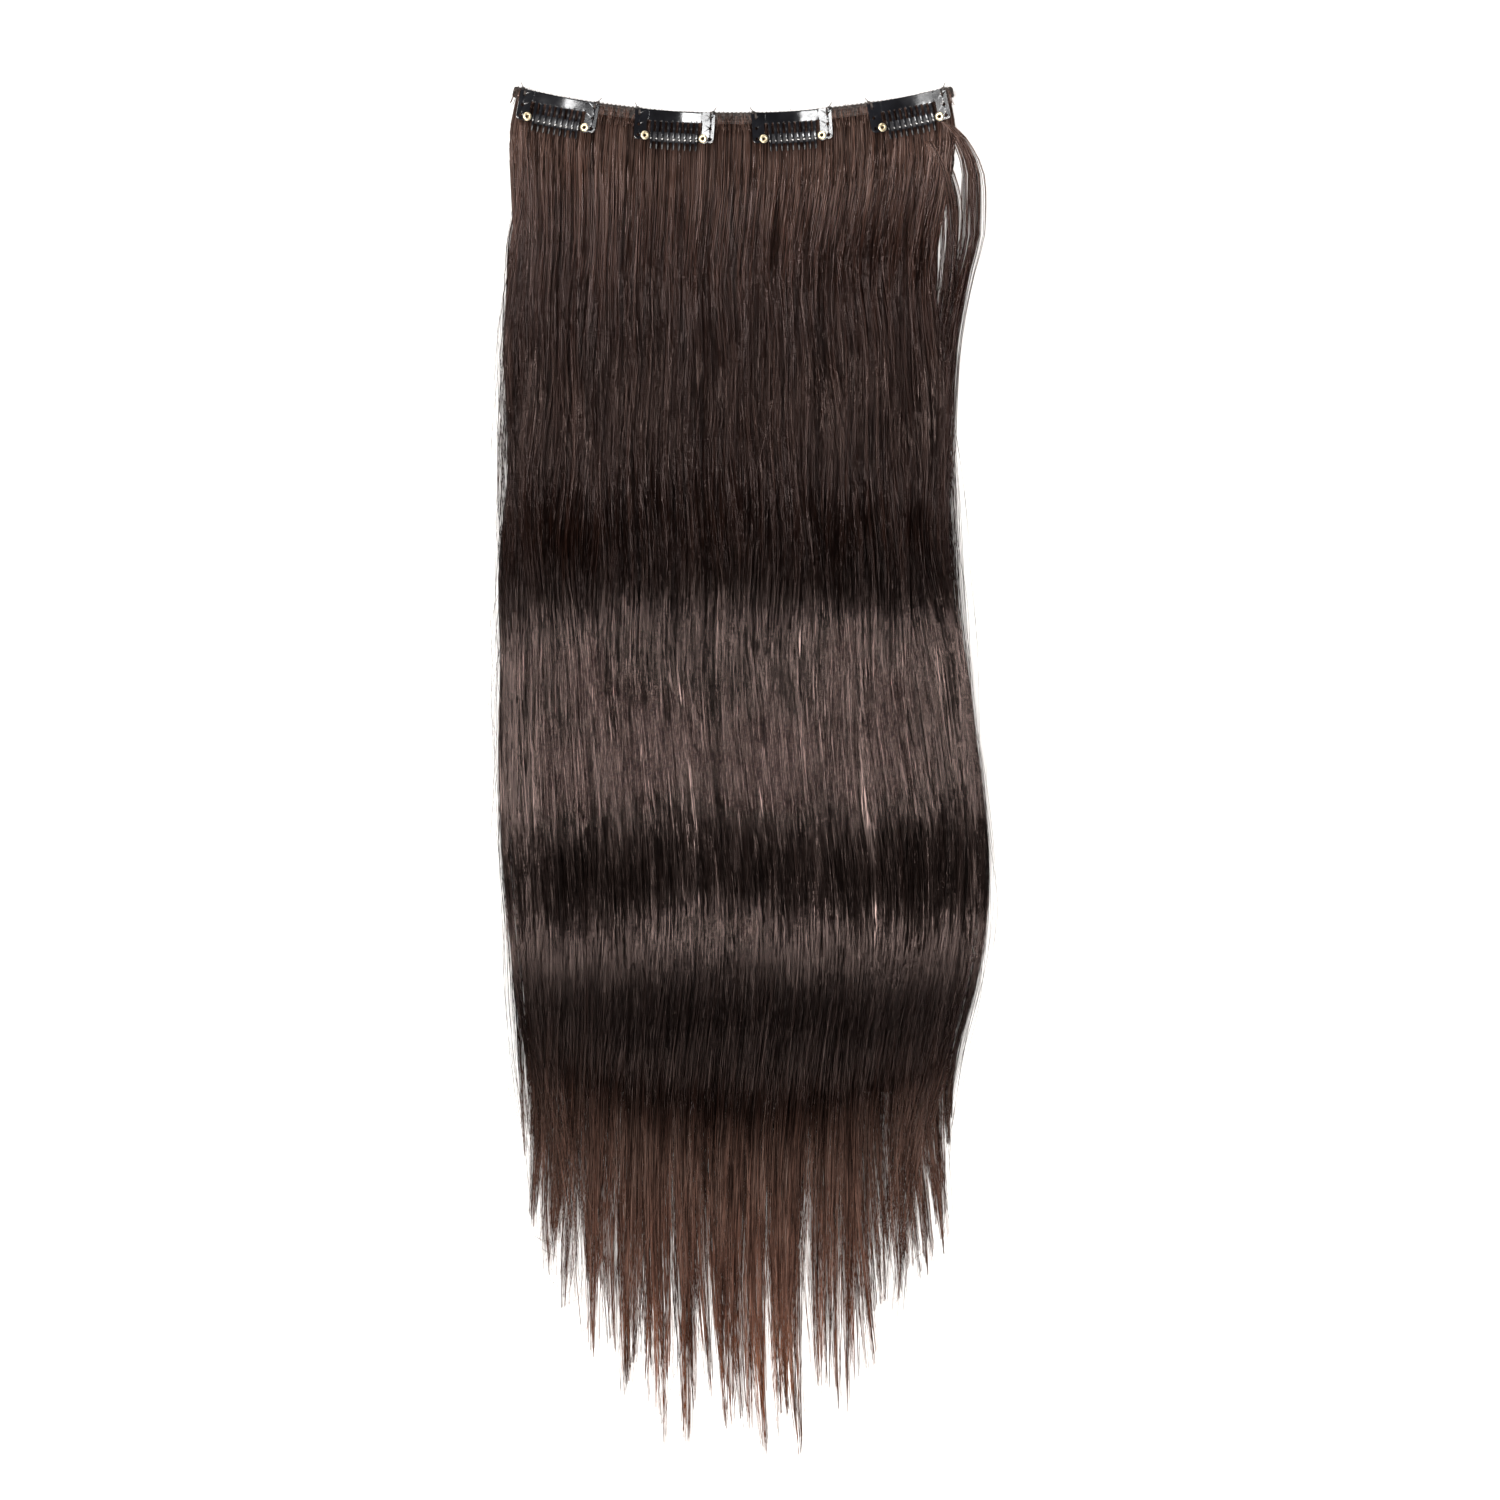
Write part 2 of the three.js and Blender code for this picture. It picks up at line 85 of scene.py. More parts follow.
def tableOf(keys, rows):
    return [dict(zip(keys.split(), row)) for row in rows]


# The curtain's outline and waves as shares: down of the length, left and right of the half width,
# top and under of the height
curtainRows = tableOf("down left right top under", [
    (-0.010, -0.840, 0.800, 0.133, 0.00),
    (0.000, -0.840, 0.800, 0.133, 0.00),
    (0.023, -0.840, 0.800, 0.160, 0.00),
    (0.048, -0.820, 0.785, 0.300, 0.00),
    (0.085, -0.856, 0.785, 0.345, 0.00),
    (0.140, -0.900, 0.811, 0.510, 0.05),
    (0.266, -0.916, 0.862, 0.425, 0.00),
    (0.326, -0.907, 0.880, 0.920, 0.20),
    (0.345, -0.906, 0.888, 0.990, 0.26),
    (0.415, -0.910, 0.928, 0.842, 0.36),
    (0.450, -0.910, 0.945, 0.852, 0.35),
    (0.522, -0.907, 0.983, 0.768, 0.27),
    (0.545, -0.904, 0.994, 0.672, 0.18),
    (0.584, -0.895, 1.000, 0.390, 0.02),
    (0.612, -0.888, 0.990, 0.392, 0.00),
    (0.630, -0.884, 0.979, 0.430, 0.01),
    (0.705, -0.863, 0.897, 0.940, 0.28),
    (0.738, -0.846, 0.868, 1.030, 0.34),
    (0.760, -0.830, 0.850, 1.020, 0.36),
])
tailRows = tableOf("down top under", [
    (0.800, 0.900, 0.34),
    (0.860, 0.620, 0.16),
    (0.920, 0.380, 0.02),
    (1.000, 0.160, 0.00),
])
lockEnds = tableOf("across reach", [
    (-0.833, 0.766), (-0.780, 0.818), (-0.700, 0.856), (-0.645, 0.878),
    (-0.570, 0.916), (-0.490, 0.908), (-0.430, 0.946), (-0.360, 0.938),
    (-0.285, 0.981), (-0.190, 0.985), (-0.095, 0.945), (-0.020, 0.972),
    (0.045, 0.962), (0.120, 0.993), (0.195, 0.963), (0.270, 1.000),
    (0.360, 0.938), (0.455, 0.960), (0.525, 0.932), (0.590, 0.880),
    (0.665, 0.862), (0.745, 0.854), (0.805, 0.826), (0.860, 0.760),
])
# Locks that bulge from the sides: across of the half width, down of the length, width in millimetres
sideLocks = [
    {
        "name": "hair_loop_right_outer",
        "width": 6.5,
        "path": [(0.815, -0.004), (0.890, 0.010), (0.945, 0.040), (0.945, 0.075), (0.895, 0.120),
                 (0.850, 0.175), (0.830, 0.240)],
    },
    {
        "name": "hair_loop_right_inner",
        "width": 5.5,
        "path": [(0.775, 0.012), (0.835, 0.035), (0.865, 0.070), (0.850, 0.115), (0.810, 0.175),
                 (0.800, 0.240)],
    },
    {
        "name": "hair_loop_left",
        "width": 4.5,
        "path": [(-0.835, -0.002), (-0.828, 0.030), (-0.838, 0.060), (-0.868, 0.095), (-0.880, 0.150)],
    },
]


def mix(a, b, share):
    return a + (b - a) * share


def smooth(share):
    held = np.clip(share, 0.0, 1.0)
    return held * held * (3.0 - 2.0 * held)


# A smooth curve through a table's column that never overshoots its rows
def readRows(rows, key, at, along="down"):
    xs = np.array([row[along] for row in rows])
    ys = np.array([row[key] for row in rows])
    steps = np.diff(xs)
    rises = np.diff(ys) / steps
    slopes = np.zeros_like(ys)
    before, after = rises[:-1], rises[1:]
    both = before * after
    level = np.where(both > 0, both, 1.0)
    slopes[1:-1] = np.where(both > 0, 2.0 * level / np.where(both > 0, before + after, 1.0), 0.0)
    at = np.clip(at, xs[0], xs[-1])
    i = np.clip(np.searchsorted(xs, at) - 1, 0, len(steps) - 1)
    t = (at - xs[i]) / steps[i]
    u = 1.0 - t
    return (ys[i] * (1 + 2 * t) * u * u + slopes[i] * steps[i] * t * u * u
            + ys[i + 1] * t * t * (3 - 2 * t) - slopes[i + 1] * steps[i] * t * t * u)


# Clips: where each sits, read from the comb hinges of the frame
snap = {
    "leafThickness": 0.5,
    "leafBowRadius": 42.0,
    "combHalfWidth": 10.6,
    "bandHeight": 4.2,
    "toothCount": 9,
    "toothPitch": 2.2,
    "toothRootWidth": 1.35,
    "toothTipWidth": 0.8,
    "toothLength": 11.2,
    "toothArch": 0.95,
    "earWidth": 5.2,
    "earWaist": 0.35,
    "earCorner": 0.9,
    "sewHoleRadius": 0.65,
    "sewHoleInset": 1.75,
    "sewHoleTop": 2.1,
    "rivetSpacing": 23.3,
    "rivetBelowTop": 10.4,
    "rivetHeadRadius": 1.75,
    "rivetBarrelRadius": 0.95,
    "rivetBoreRadius": 0.6,
    "rivetLobeRadius": 2.0,
    "barThickness": 0.5,
    "sleeveLength": 17.4,
    "sleeveWidth": 4.0,
    "sleeveWall": 0.4,
    "sleeveRound": 0.8,
}
earStart = snap["combHalfWidth"] + weft["gap"]
earSlope = math.atan(earStart / snap["leafBowRadius"])
clipHalfWidth = earStart + snap["earWidth"]
rivetX = (snap["rivetSpacing"] / 2 - earStart) / math.cos(earSlope)
stripTop = weft["rootThickness"] + weft["gap"] + weft["stripThickness"]


def bow(x):
    inner = np.minimum(np.abs(x), earStart)
    return inner ** 2 / (2 * snap["leafBowRadius"]) + (np.abs(x) - inner) * math.tan(earSlope)


hinges = sorted(frame["joints"], key=lambda joint: joint["pos_m"][0])
clips = [
    {
        "number": number,
        "x": joint["pos_m"][0] / mm,
        "y": joint["pos_m"][1] / mm,
        "angle": math.atan2(-joint["axis"][1], -joint["axis"][0]),
        "body": joint["child"],
    }
    for number, joint in enumerate(hinges, start=1)
]
shiftX = sum(clip["x"] for clip in clips) / len(clips)
shiftY = clips[0]["y"] - weft["smileRadius"] * (1 - math.cos(clips[0]["angle"]))
clipAlong = np.array([clip["angle"] * weft["smileRadius"] for clip in clips])


# The strip's rise over each clip's bow
def stripRise(along):
    nearest = np.min(np.abs(np.asarray(along)[..., None] - clipAlong), axis=-1)
    return bow(np.minimum(nearest, clipHalfWidth))


def onArc(along, below):
    angle = along / weft["smileRadius"]
    radius = weft["smileRadius"] + below
    return radius * np.sin(angle) + shiftX, weft["smileRadius"] - radius * np.cos(angle) + shiftY


# Where a hair lies, seen from above: across from -1 to 1, down from 0 at the strip to 1
def curtainPlan(across, down):
    along = weft["stripLength"] / 2 * weft["rootSpan"] * across
    rootX, rootY = onArc(along, weft["stripHeight"] + down * weft["hairLength"])
    left = readRows(curtainRows, "left", down)
    right = readRows(curtainRows, "right", down)
    settled = smooth(down / weft["settled"])
    x = weft["halfWidth"] * mix(left, right, (across + 1) / 2) + shiftX
    y = shiftY - weft["stripHeight"] - down * weft["hairLength"]
    return mix(rootX, x, settled), mix(rootY, y, settled)


def waveHeights(down):
    waves = curtainRows + tailRows
    return (readRows(waves, "top", down) * weft["height"],
            readRows(waves, "under", down) * weft["height"])


# Materials

def linearColour(code):
    channels = [int(code[i:i + 2], 16) / 255 for i in (1, 3, 5)]
    return [c / 12.92 if c <= 0.04045 else ((c + 0.055) / 1.055) ** 2.4 for c in channels] + [1.0]


# Adds a node with its settings, its links and, on a ramp, its stops
def addNode(tree, kind, inputs=None, stops=None, **settings):
    node = tree.nodes.new("ShaderNode" + kind)
    for name, value in settings.items():
        setattr(node, name, value)
    for key, value in (inputs or {}).items():
        if isinstance(value, bpy.types.NodeSocket):
            tree.links.new(value, node.inputs[key])
        else:
            node.inputs[key].default_value = value
    if stops:
        ramp = node.color_ramp
        while len(ramp.elements) < len(stops):
            ramp.elements.new(1.0)
        for element, (place, code) in zip(ramp.elements, stops):
            element.position = place
            element.color = linearColour(code)
    return node


def newMaterial(name):
    material = bpy.data.materials.new(name)
    material.use_nodes = True
    tree = material.node_tree
    tree.nodes.clear()
    return material, tree, addNode(tree, "TexCoord").outputs["Object"]


def finishMaterial(material, inputs):
    shader = addNode(material.node_tree, "BsdfPrincipled", inputs)
    addNode(material.node_tree, "OutputMaterial", {"Surface": shader.outputs["BSDF"]})
    return material


# Sizes of grain and depths of bumps are in millimetres
def noiseOf(tree, place, size, detail, roughness=0.5):
    return addNode(tree, "TexNoise", {"Vector": place, "Scale": 1 / (size * mm), "Detail": detail,
                                      "Roughness": roughness}).outputs["Fac"]


# Noise drawn out along the hair, with its size set by the mapping
def drawnNoise(tree, place, grain, detail=2.0):
    across, along = grain
    scale = (1 / (across * mm), 1 / (along * mm), 1 / (across * mm))
    moved = addNode(tree, "Mapping", {"Vector": place, "Scale": scale}).outputs["Vector"]
    return noiseOf(tree, moved, 1 / mm, detail, 0.6)


def rampOf(tree, value, stops):
    return addNode(tree, "ValToRGB", {"Fac": value}, stops).outputs["Color"]


def spreadOf(tree, value, limits, results):
    return addNode(tree, "MapRange", {"Value": value, "From Min": limits[0], "From Max": limits[1],
                                      "To Min": results[0], "To Max": results[1]}).outputs["Result"]


def mathsOf(tree, operation, *values):
    return addNode(tree, "Math", dict(enumerate(values)), operation=operation).outputs["Value"]


def bumpOf(tree, height, strength, depth):
    inputs = {"Height": height, "Strength": strength, "Distance": depth * mm}
    return addNode(tree, "Bump", inputs).outputs["Normal"]


def multiplied(tree, first, second):
    inputs = {0: 1.0, 6: first, 7: second}
    return addNode(tree, "Mix", inputs, data_type="RGBA", blend_type="MULTIPLY").outputs[2]


# Grains are across and along the hair, in millimetres. rootToTipAndPaintedRootSheen and glossAlong, the gloss that is
# left, run down the length. The pale grey-brown root end of the first is partly the hair's own root colour and partly
# a painted highlight for the light on the root zone
hairLook = {
    # The first stops, the pale root end, are partly the hair's root colour and partly a painted highlight
    "rootToTipAndPaintedRootSheen": [(0.0, "#87766e"), (0.06, "#66564f"), (0.115, "#3c2c26"), (0.165, "#2c1c16"), (0.32, "#241712"),
                  (0.38, "#191210"), (0.70, "#191210"), (0.74, "#2b201c"), (0.79, "#7c6a62"), (0.88, "#95796d"),
                  (1.0, "#c08c6c")],
    "warmSides": 0.055,  # share of the length by which the sides lighten sooner than the middle
    "warmFrom": (0.4, 0.7),
    "strandTones": [(0.0, "#5e5856"), (0.30, "#9a918e"), (0.60, "#d3c7c3"), (0.85, "#ffe8df"), (1.0, "#ffffff")],
    "streakTones": [(0.32, "#7a7270"), (0.50, "#cfc6c3"), (0.68, "#ffffff")],
    "streakGrain": (2.2, 60.0),
    "cuticleGrain": (0.8, 36.0),
    "cuticleTilt": 0.06,
    "massGrain": (3.5, 90.0),
    "massTilt": 0.022,
    "glossTint": "#ffe1da",
    "glossAlong": [(0.0, "#ffffff"), (0.12, "#e7e7e7"), (0.15, "#d4d4d4"), (0.305, "#cecece"), (0.335, "#9c9c9c"),
                   (0.364, "#8e8e8e"), (0.400, "#ffffff"), (0.615, "#ffffff"), (0.665, "#767676")],
    "glossShift": 0.016,  # how far up or down the length each hair has its own change of gloss
    "specular": (0.12, 0.92),  # from the dullest to the glossiest hair
    "roughness": (0.15, 0.25),
    "ior": 1.55,
}


# Dyed human hair: smooth cuticle over dark brown keratin. It gives broken bands of warm gloss across
# the waves, redder and lighter ends, single lighter hairs, and a paler root end that is partly painted highlight.
def dyedHair():
    material, tree, place = newMaterial("dyedHumanHair")
    surface = addNode(tree, "NewGeometry").outputs
    strand = surface["Random Per Island"]
    parts = addNode(tree, "SeparateXYZ", {"Vector": place}).outputs
    share = spreadOf(tree, parts["Y"], (cadHigh[1], cadLow[1]), (0.0, 1.0))
    sideways = mathsOf(tree, "MULTIPLY", parts["X"], 1 / (weft["halfWidth"] * mm))
    outer = mathsOf(tree, "MULTIPLY", sideways, sideways)
    low = spreadOf(tree, share, hairLook["warmFrom"], (0.0, hairLook["warmSides"]))
    sooner = mathsOf(tree, "MULTIPLY_ADD", outer, low, share)
    streaks = drawnNoise(tree, place, hairLook["streakGrain"], 3.0)
    # The length ramp's pale root end is partly a painted highlight
    tone = multiplied(tree, rampOf(tree, sooner, hairLook["rootToTipAndPaintedRootSheen"]),
                      rampOf(tree, strand, hairLook["strandTones"]))
    tone = multiplied(tree, tone, rampOf(tree, streaks, hairLook["streakTones"]))
    cuticle = drawnNoise(tree, place, hairLook["cuticleGrain"])
    mass = drawnNoise(tree, place, hairLook["massGrain"])
    tilts = [spreadOf(tree, grain, limits, (-hairLook[tilt], hairLook[tilt]))
             for grain, limits, tilt in ((cuticle, (0.25, 0.75), "cuticleTilt"), (mass, (0.3, 0.7), "massTilt"))]
    leaning = addNode(tree, "CombineXYZ", {"Y": mathsOf(tree, "ADD", *tilts)}).outputs["Vector"]
    tipped = addNode(tree, "VectorMath", {0: surface["Normal"], 1: leaning}, operation="ADD").outputs["Vector"]
    normal = addNode(tree, "VectorMath", {0: tipped}, operation="NORMALIZE").outputs["Vector"]
    shift = spreadOf(tree, strand, (0.0, 1.0), (-hairLook["glossShift"], hairLook["glossShift"]))
    healthy = rampOf(tree, mathsOf(tree, "ADD", share, shift), hairLook["glossAlong"])
    varied = spreadOf(tree, strand, (0.0, 1.0), hairLook["specular"])
    return finishMaterial(material, {
        "Base Color": tone, "Roughness": spreadOf(tree, streaks, (0.3, 0.7), hairLook["roughness"]),
        "IOR": hairLook["ior"], "Specular IOR Level": mathsOf(tree, "MULTIPLY", healthy, varied),
        "Specular Tint": linearColour(hairLook["glossTint"]), "Normal": normal})


enamelLook = {"tones": [(0.3, "#0d0d10"), (0.7, "#16171c")], "smear": 9.0, "peel": 3.2, "peelDepth": 0.06,
              "roughness": (0.12, 0.22), "coat": 0.25, "coatRoughness": 0.09}


# Stoved black enamel on spring steel: deep gloss with a faint orange peel, which breaks up the
# reflections of the lamps
def blackEnamel():
    material, tree, place = newMaterial("stovedBlackEnamel")
    smears = noiseOf(tree, place, enamelLook["smear"], 4.0)
    peel = noiseOf(tree, place, enamelLook["peel"], 3.0)
    return finishMaterial(material, {
        "Base Color": rampOf(tree, smears, enamelLook["tones"]), "IOR": 1.5,
        "Roughness": spreadOf(tree, smears, (0.35, 0.7), enamelLook["roughness"]),
        "Coat Weight": enamelLook["coat"], "Coat Roughness": enamelLook["coatRoughness"],
        "Normal": bumpOf(tree, peel, 0.5, enamelLook["peelDepth"])})


brassLook = {"tones": [(0.3, "#cbb98e"), (0.6, "#efe3c4")], "grain": 0.7, "depth": 0.03,
             "roughness": (0.24, 0.42), "metallic": 0.75}


# Lacquered brass, pressed: a pale warm shine, duller in the grain
def lacqueredBrass():
    material, tree, place = newMaterial("lacqueredBrass")
    grain = noiseOf(tree, place, brassLook["grain"], 4.0)
    return finishMaterial(material, {
        "Base Color": rampOf(tree, grain, brassLook["tones"]), "Metallic": brassLook["metallic"],
        "Roughness": spreadOf(tree, grain, (0.3, 0.7), brassLook["roughness"]),
        "Normal": bumpOf(tree, grain, 0.3, brassLook["depth"])})


siliconeLook = {"tones": [(0.45, "#1c1c1f"), (0.72, "#35343a")], "dust": 0.5, "depth": 0.04, "roughness": 0.48}


# Extruded silicone rubber: near-black with a soft broad sheen and a little dust
def siliconeRubber():
    material, tree, place = newMaterial("siliconeRubber")
    dust = noiseOf(tree, place, siliconeLook["dust"], 5.0)
    return finishMaterial(material, {
        "Base Color": rampOf(tree, dust, siliconeLook["tones"]), "Roughness": siliconeLook["roughness"],
        "IOR": 1.41, "Normal": bumpOf(tree, dust, 0.3, siliconeLook["depth"])})


wavesPerScale = 20  # Blender's wave texture repeats this often in one unit at a scale of 1


def waveOf(tree, place, pitch, **inputs):
    inputs = {key.replace("_", " "): value for key, value in inputs.items()}
    inputs.update({"Vector": place, "Scale": 1 / (pitch * mm * wavesPerScale)})
    return addNode(tree, "TexWave", inputs, bands_direction="DIAGONAL").outputs["Fac"]


tapeLook = {
    "threadPitch": 0.55,  # mm, a little coarser than the real 0.3 so that it shows
    "tones": [(0.36, "#0e0b0a"), (0.52, "#2b2320"), (0.68, "#6a5e57")],
    "fuzz": 1.5,
    "depth": 0.25,
    "sheen": 0.2,
}


# Knitted polyester tape: matt dark threads in rows, fuzzy, with paler worn high spots
def knittedTape():
    material, tree, place = newMaterial("knittedPolyesterTape")
    rows = waveOf(tree, place, tapeLook["threadPitch"], Distortion=3.0, Detail=2.0, Detail_Scale=2.0)
    fuzz = noiseOf(tree, place, tapeLook["fuzz"], 6.0, 0.7)
    return finishMaterial(material, {
        "Base Color": rampOf(tree, fuzz, tapeLook["tones"]), "Roughness": 0.85, "IOR": 1.5,
        "Sheen Weight": tapeLook["sheen"], "Sheen Roughness": 0.5,
        "Normal": bumpOf(tree, mathsOf(tree, "MULTIPLY", rows, fuzz), 0.9, tapeLook["depth"])})


# The lighter tone is a painted highlight on each twist
twistLook = {"tones": [(0.2, "#1b1716"), (0.8, "#453c38")], "pitch": 0.25, "depth": 0.05, "roughness": 0.6}


# Twisted polyester thread: dark, with a slight shine on each twist that is a painted highlight, a lighter band in its
# colour
def twistedThread():
    material, tree, place = newMaterial("twistedPolyesterThread")
    twist = waveOf(tree, place, twistLook["pitch"], Distortion=1.0)
    return finishMaterial(material, {
        # The twist wave paints a highlight into the colour, and it also drives the bump
        "Base Color": rampOf(tree, twist, twistLook["tones"]), "Roughness": twistLook["roughness"],
        "IOR": 1.55, "Normal": bumpOf(tree, twist, 0.8, twistLook["depth"])})


paperLook = {"tone": "#f4f4f4", "tooth": 1 / 0.9, "depth": 0.05, "roughness": 0.9}


# Matt white paper: an even pale ground with a faint tooth
def paperFloor():
    material, tree, place = newMaterial("mattWhitePaper")
    tooth = noiseOf(tree, place, paperLook["tooth"], 2.0)
    return finishMaterial(material, {
        "Base Color": linearColour(paperLook["tone"]), "Roughness": paperLook["roughness"],
        "Normal": bumpOf(tree, tooth, 0.1, paperLook["depth"])})


finishes = {
    "hair": dyedHair(),
    "enamel": blackEnamel(),
    "brass": lacqueredBrass(),
    "silicone": siliconeRubber(),
    "tape": knittedTape(),
    "thread": twistedThread(),
    "paper": paperFloor(),
}
print("materials made")


# Meshes: every point is in millimetres until here

def meshObject(name, points, faces, finish, body="weft"):
    mesh = bpy.data.meshes.new(name)
    faces = [np.asarray(group, dtype=np.int32) for group in faces if len(group)]
    points = np.asarray(points, dtype=np.float32).reshape(-1, 3) * mm
    sizes = np.concatenate([np.full(len(group), group.shape[1], dtype=np.int32) for group in faces])
    corners = np.concatenate([group.ravel() for group in faces])
    mesh.vertices.add(len(points))
    mesh.vertices.foreach_set("co", points.ravel())
    mesh.loops.add(len(corners))
    mesh.loops.foreach_set("vertex_index", corners)
    mesh.polygons.add(len(sizes))
    mesh.polygons.foreach_set("loop_start", np.concatenate([[0], np.cumsum(sizes)[:-1]]).astype(np.int32))
    mesh.polygons.foreach_set("use_smooth", np.ones(len(sizes), dtype=bool))
    mesh.update(calc_edges=True)
    mesh.materials.append(finish)
    obj = bpy.data.objects.new(name, mesh)
    bpy.context.scene.collection.objects.link(obj)
    if body:
        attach(obj, body)
    return obj


# Four-sided faces of a grid of point numbers, which may close on itself along some axes
def gridFaces(index, closed=()):
    for axis in closed:
        index = np.concatenate([index, np.take(index, [0], axis)], axis)
    return np.stack([index[..., :-1, :-1], index[..., 1:, :-1], index[..., 1:, 1:], index[..., :-1, 1:]],
                    axis=-1).reshape(-1, 4)


# Closed tubes round many paths at once: paths is strands by points by 3, radii strands by points
def tubes(paths, radii, sides=3):
    count, steps = radii.shape
    run = np.gradient(paths, axis=1)
    run /= np.linalg.norm(run, axis=2, keepdims=True) + 1e-12
    up = np.zeros_like(run)
    up[..., 2] = 1.0
    up[np.abs(run[..., 2]) > 0.9] = (0.0, 1.0, 0.0)
    side = np.cross(run, up)
    side /= np.linalg.norm(side, axis=2, keepdims=True)
    up = np.cross(side, run)
    turns = np.arange(sides) * 2 * math.pi / sides + chance.uniform(0, 2 * math.pi, (count, 1))
    turns = turns[:, None, :, None]
    rings = paths[:, :, None, :] + radii[:, :, None, None] * (
        np.cos(turns) * side[:, :, None, :] + np.sin(turns) * up[:, :, None, :])
    index = np.arange(count * steps * sides).reshape(count, steps, sides)
    caps = np.concatenate([index[:, 0, :], index[:, -1, ::-1]])
    return rings.reshape(-1, 3), [gridFaces(index, closed=[2]), caps]


# The hair

strandLook = {
    "count": 4800,
    "points": 24,
    "radius": 0.165,  # drawn three times as thick as a real hair, so that fewer cover the weft
    "tipRadius": 0.055,
    "locks": 46,
    "lockSpread": 0.9,  # shares of a lock's pitch
    "gather": 0.42,
    "lift": 0.8,  # how far one lock may stand above the next, mm
    "sway": 2.0,
    "swirl": 1.7,  # closer waves between the strip and the middle, mm
    "swirlTurns": 5.4,
    "kink": 0.22,
    "wander": 1.3,
    "knots": ([0, 0.22, 0.83, 1], [0, 0.27, 0.82, 1]),  # closer points where the waves are
    "knotSpread": (0.88, 1.2),  # so that the bends of two hairs seldom meet
    "kinkTurns": (6, 11),
    "wanderTurns": (0.8, 2.6),
    "thickness": (0.65, 1.45),
    "wavePhase": 0.0045,  # how far the waves of neighbours differ, as a share of the length
    "rootPhase": 0.012,
    "lesserWisps": 60,
    "shortening": 0.058,
    "shortShare": 0.13,
}
# Where each effect begins down the length, and over what share it grows
onsets = {"gather": (0.06, 0.5), "sway": (0.03, 0.3), "swirl": (0.07, 0.12), "swirlEnd": (0.32, 0.16),
          "kink": (0.02, 0.15), "wander": (0.03, 0.2), "wave": (0.12, 0.15), "crest": (0.65, 0.08),
          "root": (0.02, 0.02), "rootEnd": (0.06, 0.08), "lift": (0.06, 0.2)}
wispTaper = tableOf("along width", [(0.0, 1.0), (0.45, 0.97), (0.66, 0.80), (0.84, 0.50), (1.0, 0.22)])


endPlaces = (np.arange(len(lockEnds)) + 0.5) * 2 / len(lockEnds) - 1


# A slow random wave that differs smoothly from one side of the weft to the other
def drift(across, waves, size):
    total = np.zeros_like(across)
    for wave in waves:
        total = total + np.sin(across * wave + chance.uniform(0, 2 * math.pi)) / len(waves)
    return size * total


def endOf(across, key):
    return np.interp(across, endPlaces, [end[key] for end in lockEnds])


# Wisps at the ends: one on each solid lock, and lesser ones anywhere between
def wispTable():
    across = np.concatenate([endPlaces, chance.uniform(-1, 1, strandLook["lesserWisps"])])
    isMain = np.arange(len(across)) < len(endPlaces)
    stray = np.where(isMain, 0.6, 2.2)
    held = np.where(isMain, 0.006, 0.034)
    return {
        "across": across,
        "endX": endOf(across, "across") * weft["halfWidth"] + shiftX + chance.normal(0, 1, len(across)) * stray,
        "reach": endOf(across, "reach") + 0.008 - np.abs(chance.normal(0, 1, len(across))) * held,
        "rank": chance.uniform(0, 1, len(across)),
        "bend": chance.normal(0, 1.2, len(across)),
    }


def lockTable():
    count = strandLook["locks"]
    centre = (np.arange(count) + 0.5) * 2 / count - 1 + chance.uniform(-0.4, 0.4, count) / count
    return {
        "centre": centre,
        "rank": chance.uniform(-1, 1, count),
        "wavePhase": drift(centre, [2.1, 4.3], 0.012) + chance.normal(0, 0.003, count),
        "crestPhase": chance.normal(0, 0.009, count),
        "swayPhase": np.cumsum(chance.normal(0, 0.5, count)),
        "swayTurns": 2.2 + drift(centre, [2.0, 5.0], 0.6),
    }


def strandTable(locks, wisps):
    count = strandLook["count"]
    across = np.sort((np.arange(count) + chance.uniform(0, 1, count)) * 2 / count - 1)
    blurred = across + chance.normal(0, 0.6 / strandLook["locks"], count)
    lock = np.argmin(np.abs(blurred[:, None] - locks["centre"][None, :]), axis=1)
    blurred = across + chance.normal(0, 0.024, count)
    wisp = np.argmin(np.abs(blurred[:, None] - wisps["across"][None, :]), axis=1)
    shorter = chance.exponential(strandLook["shortening"], count) * (1 - 0.55 * across ** 4)
    shorter = shorter + np.where(chance.uniform(0, 1, count) < strandLook["shortShare"],
                                 chance.uniform(0.04, 0.22, count), 0.0)
    return {
        "across": across,
        "lock": lock,
        "wisp": wisp,
        "reach": np.maximum(wisps["reach"][wisp] - shorter, 0.45),
        "depth": chance.uniform(0, 1, count),
        "loose": chance.uniform(0, 1, count) ** 4,
        "kinkPhase": chance.uniform(0, 2 * math.pi, count),
        "kinkTurns": chance.uniform(*strandLook["kinkTurns"], count),
        "wavePhase": chance.normal(0, strandLook["wavePhase"], count),
        "wander": chance.normal(0, strandLook["wander"], count),
        "wanderPhase": chance.uniform(0, 2 * math.pi, count),
        "wanderTurns": chance.uniform(*strandLook["wanderTurns"], count),
        "radius": strandLook["radius"] * chance.uniform(*strandLook["thickness"], count),
        "knotPower": chance.uniform(*strandLook["knotSpread"], count),
        "rootPhase": chance.uniform(0, strandLook["rootPhase"], count),
    }


def begun(down, effect):
    start, span = onsets[effect]
    return smooth((down - start) / span)


def turned(down, turns, phase):
    return np.sin(down * turns * 2 * math.pi + phase)


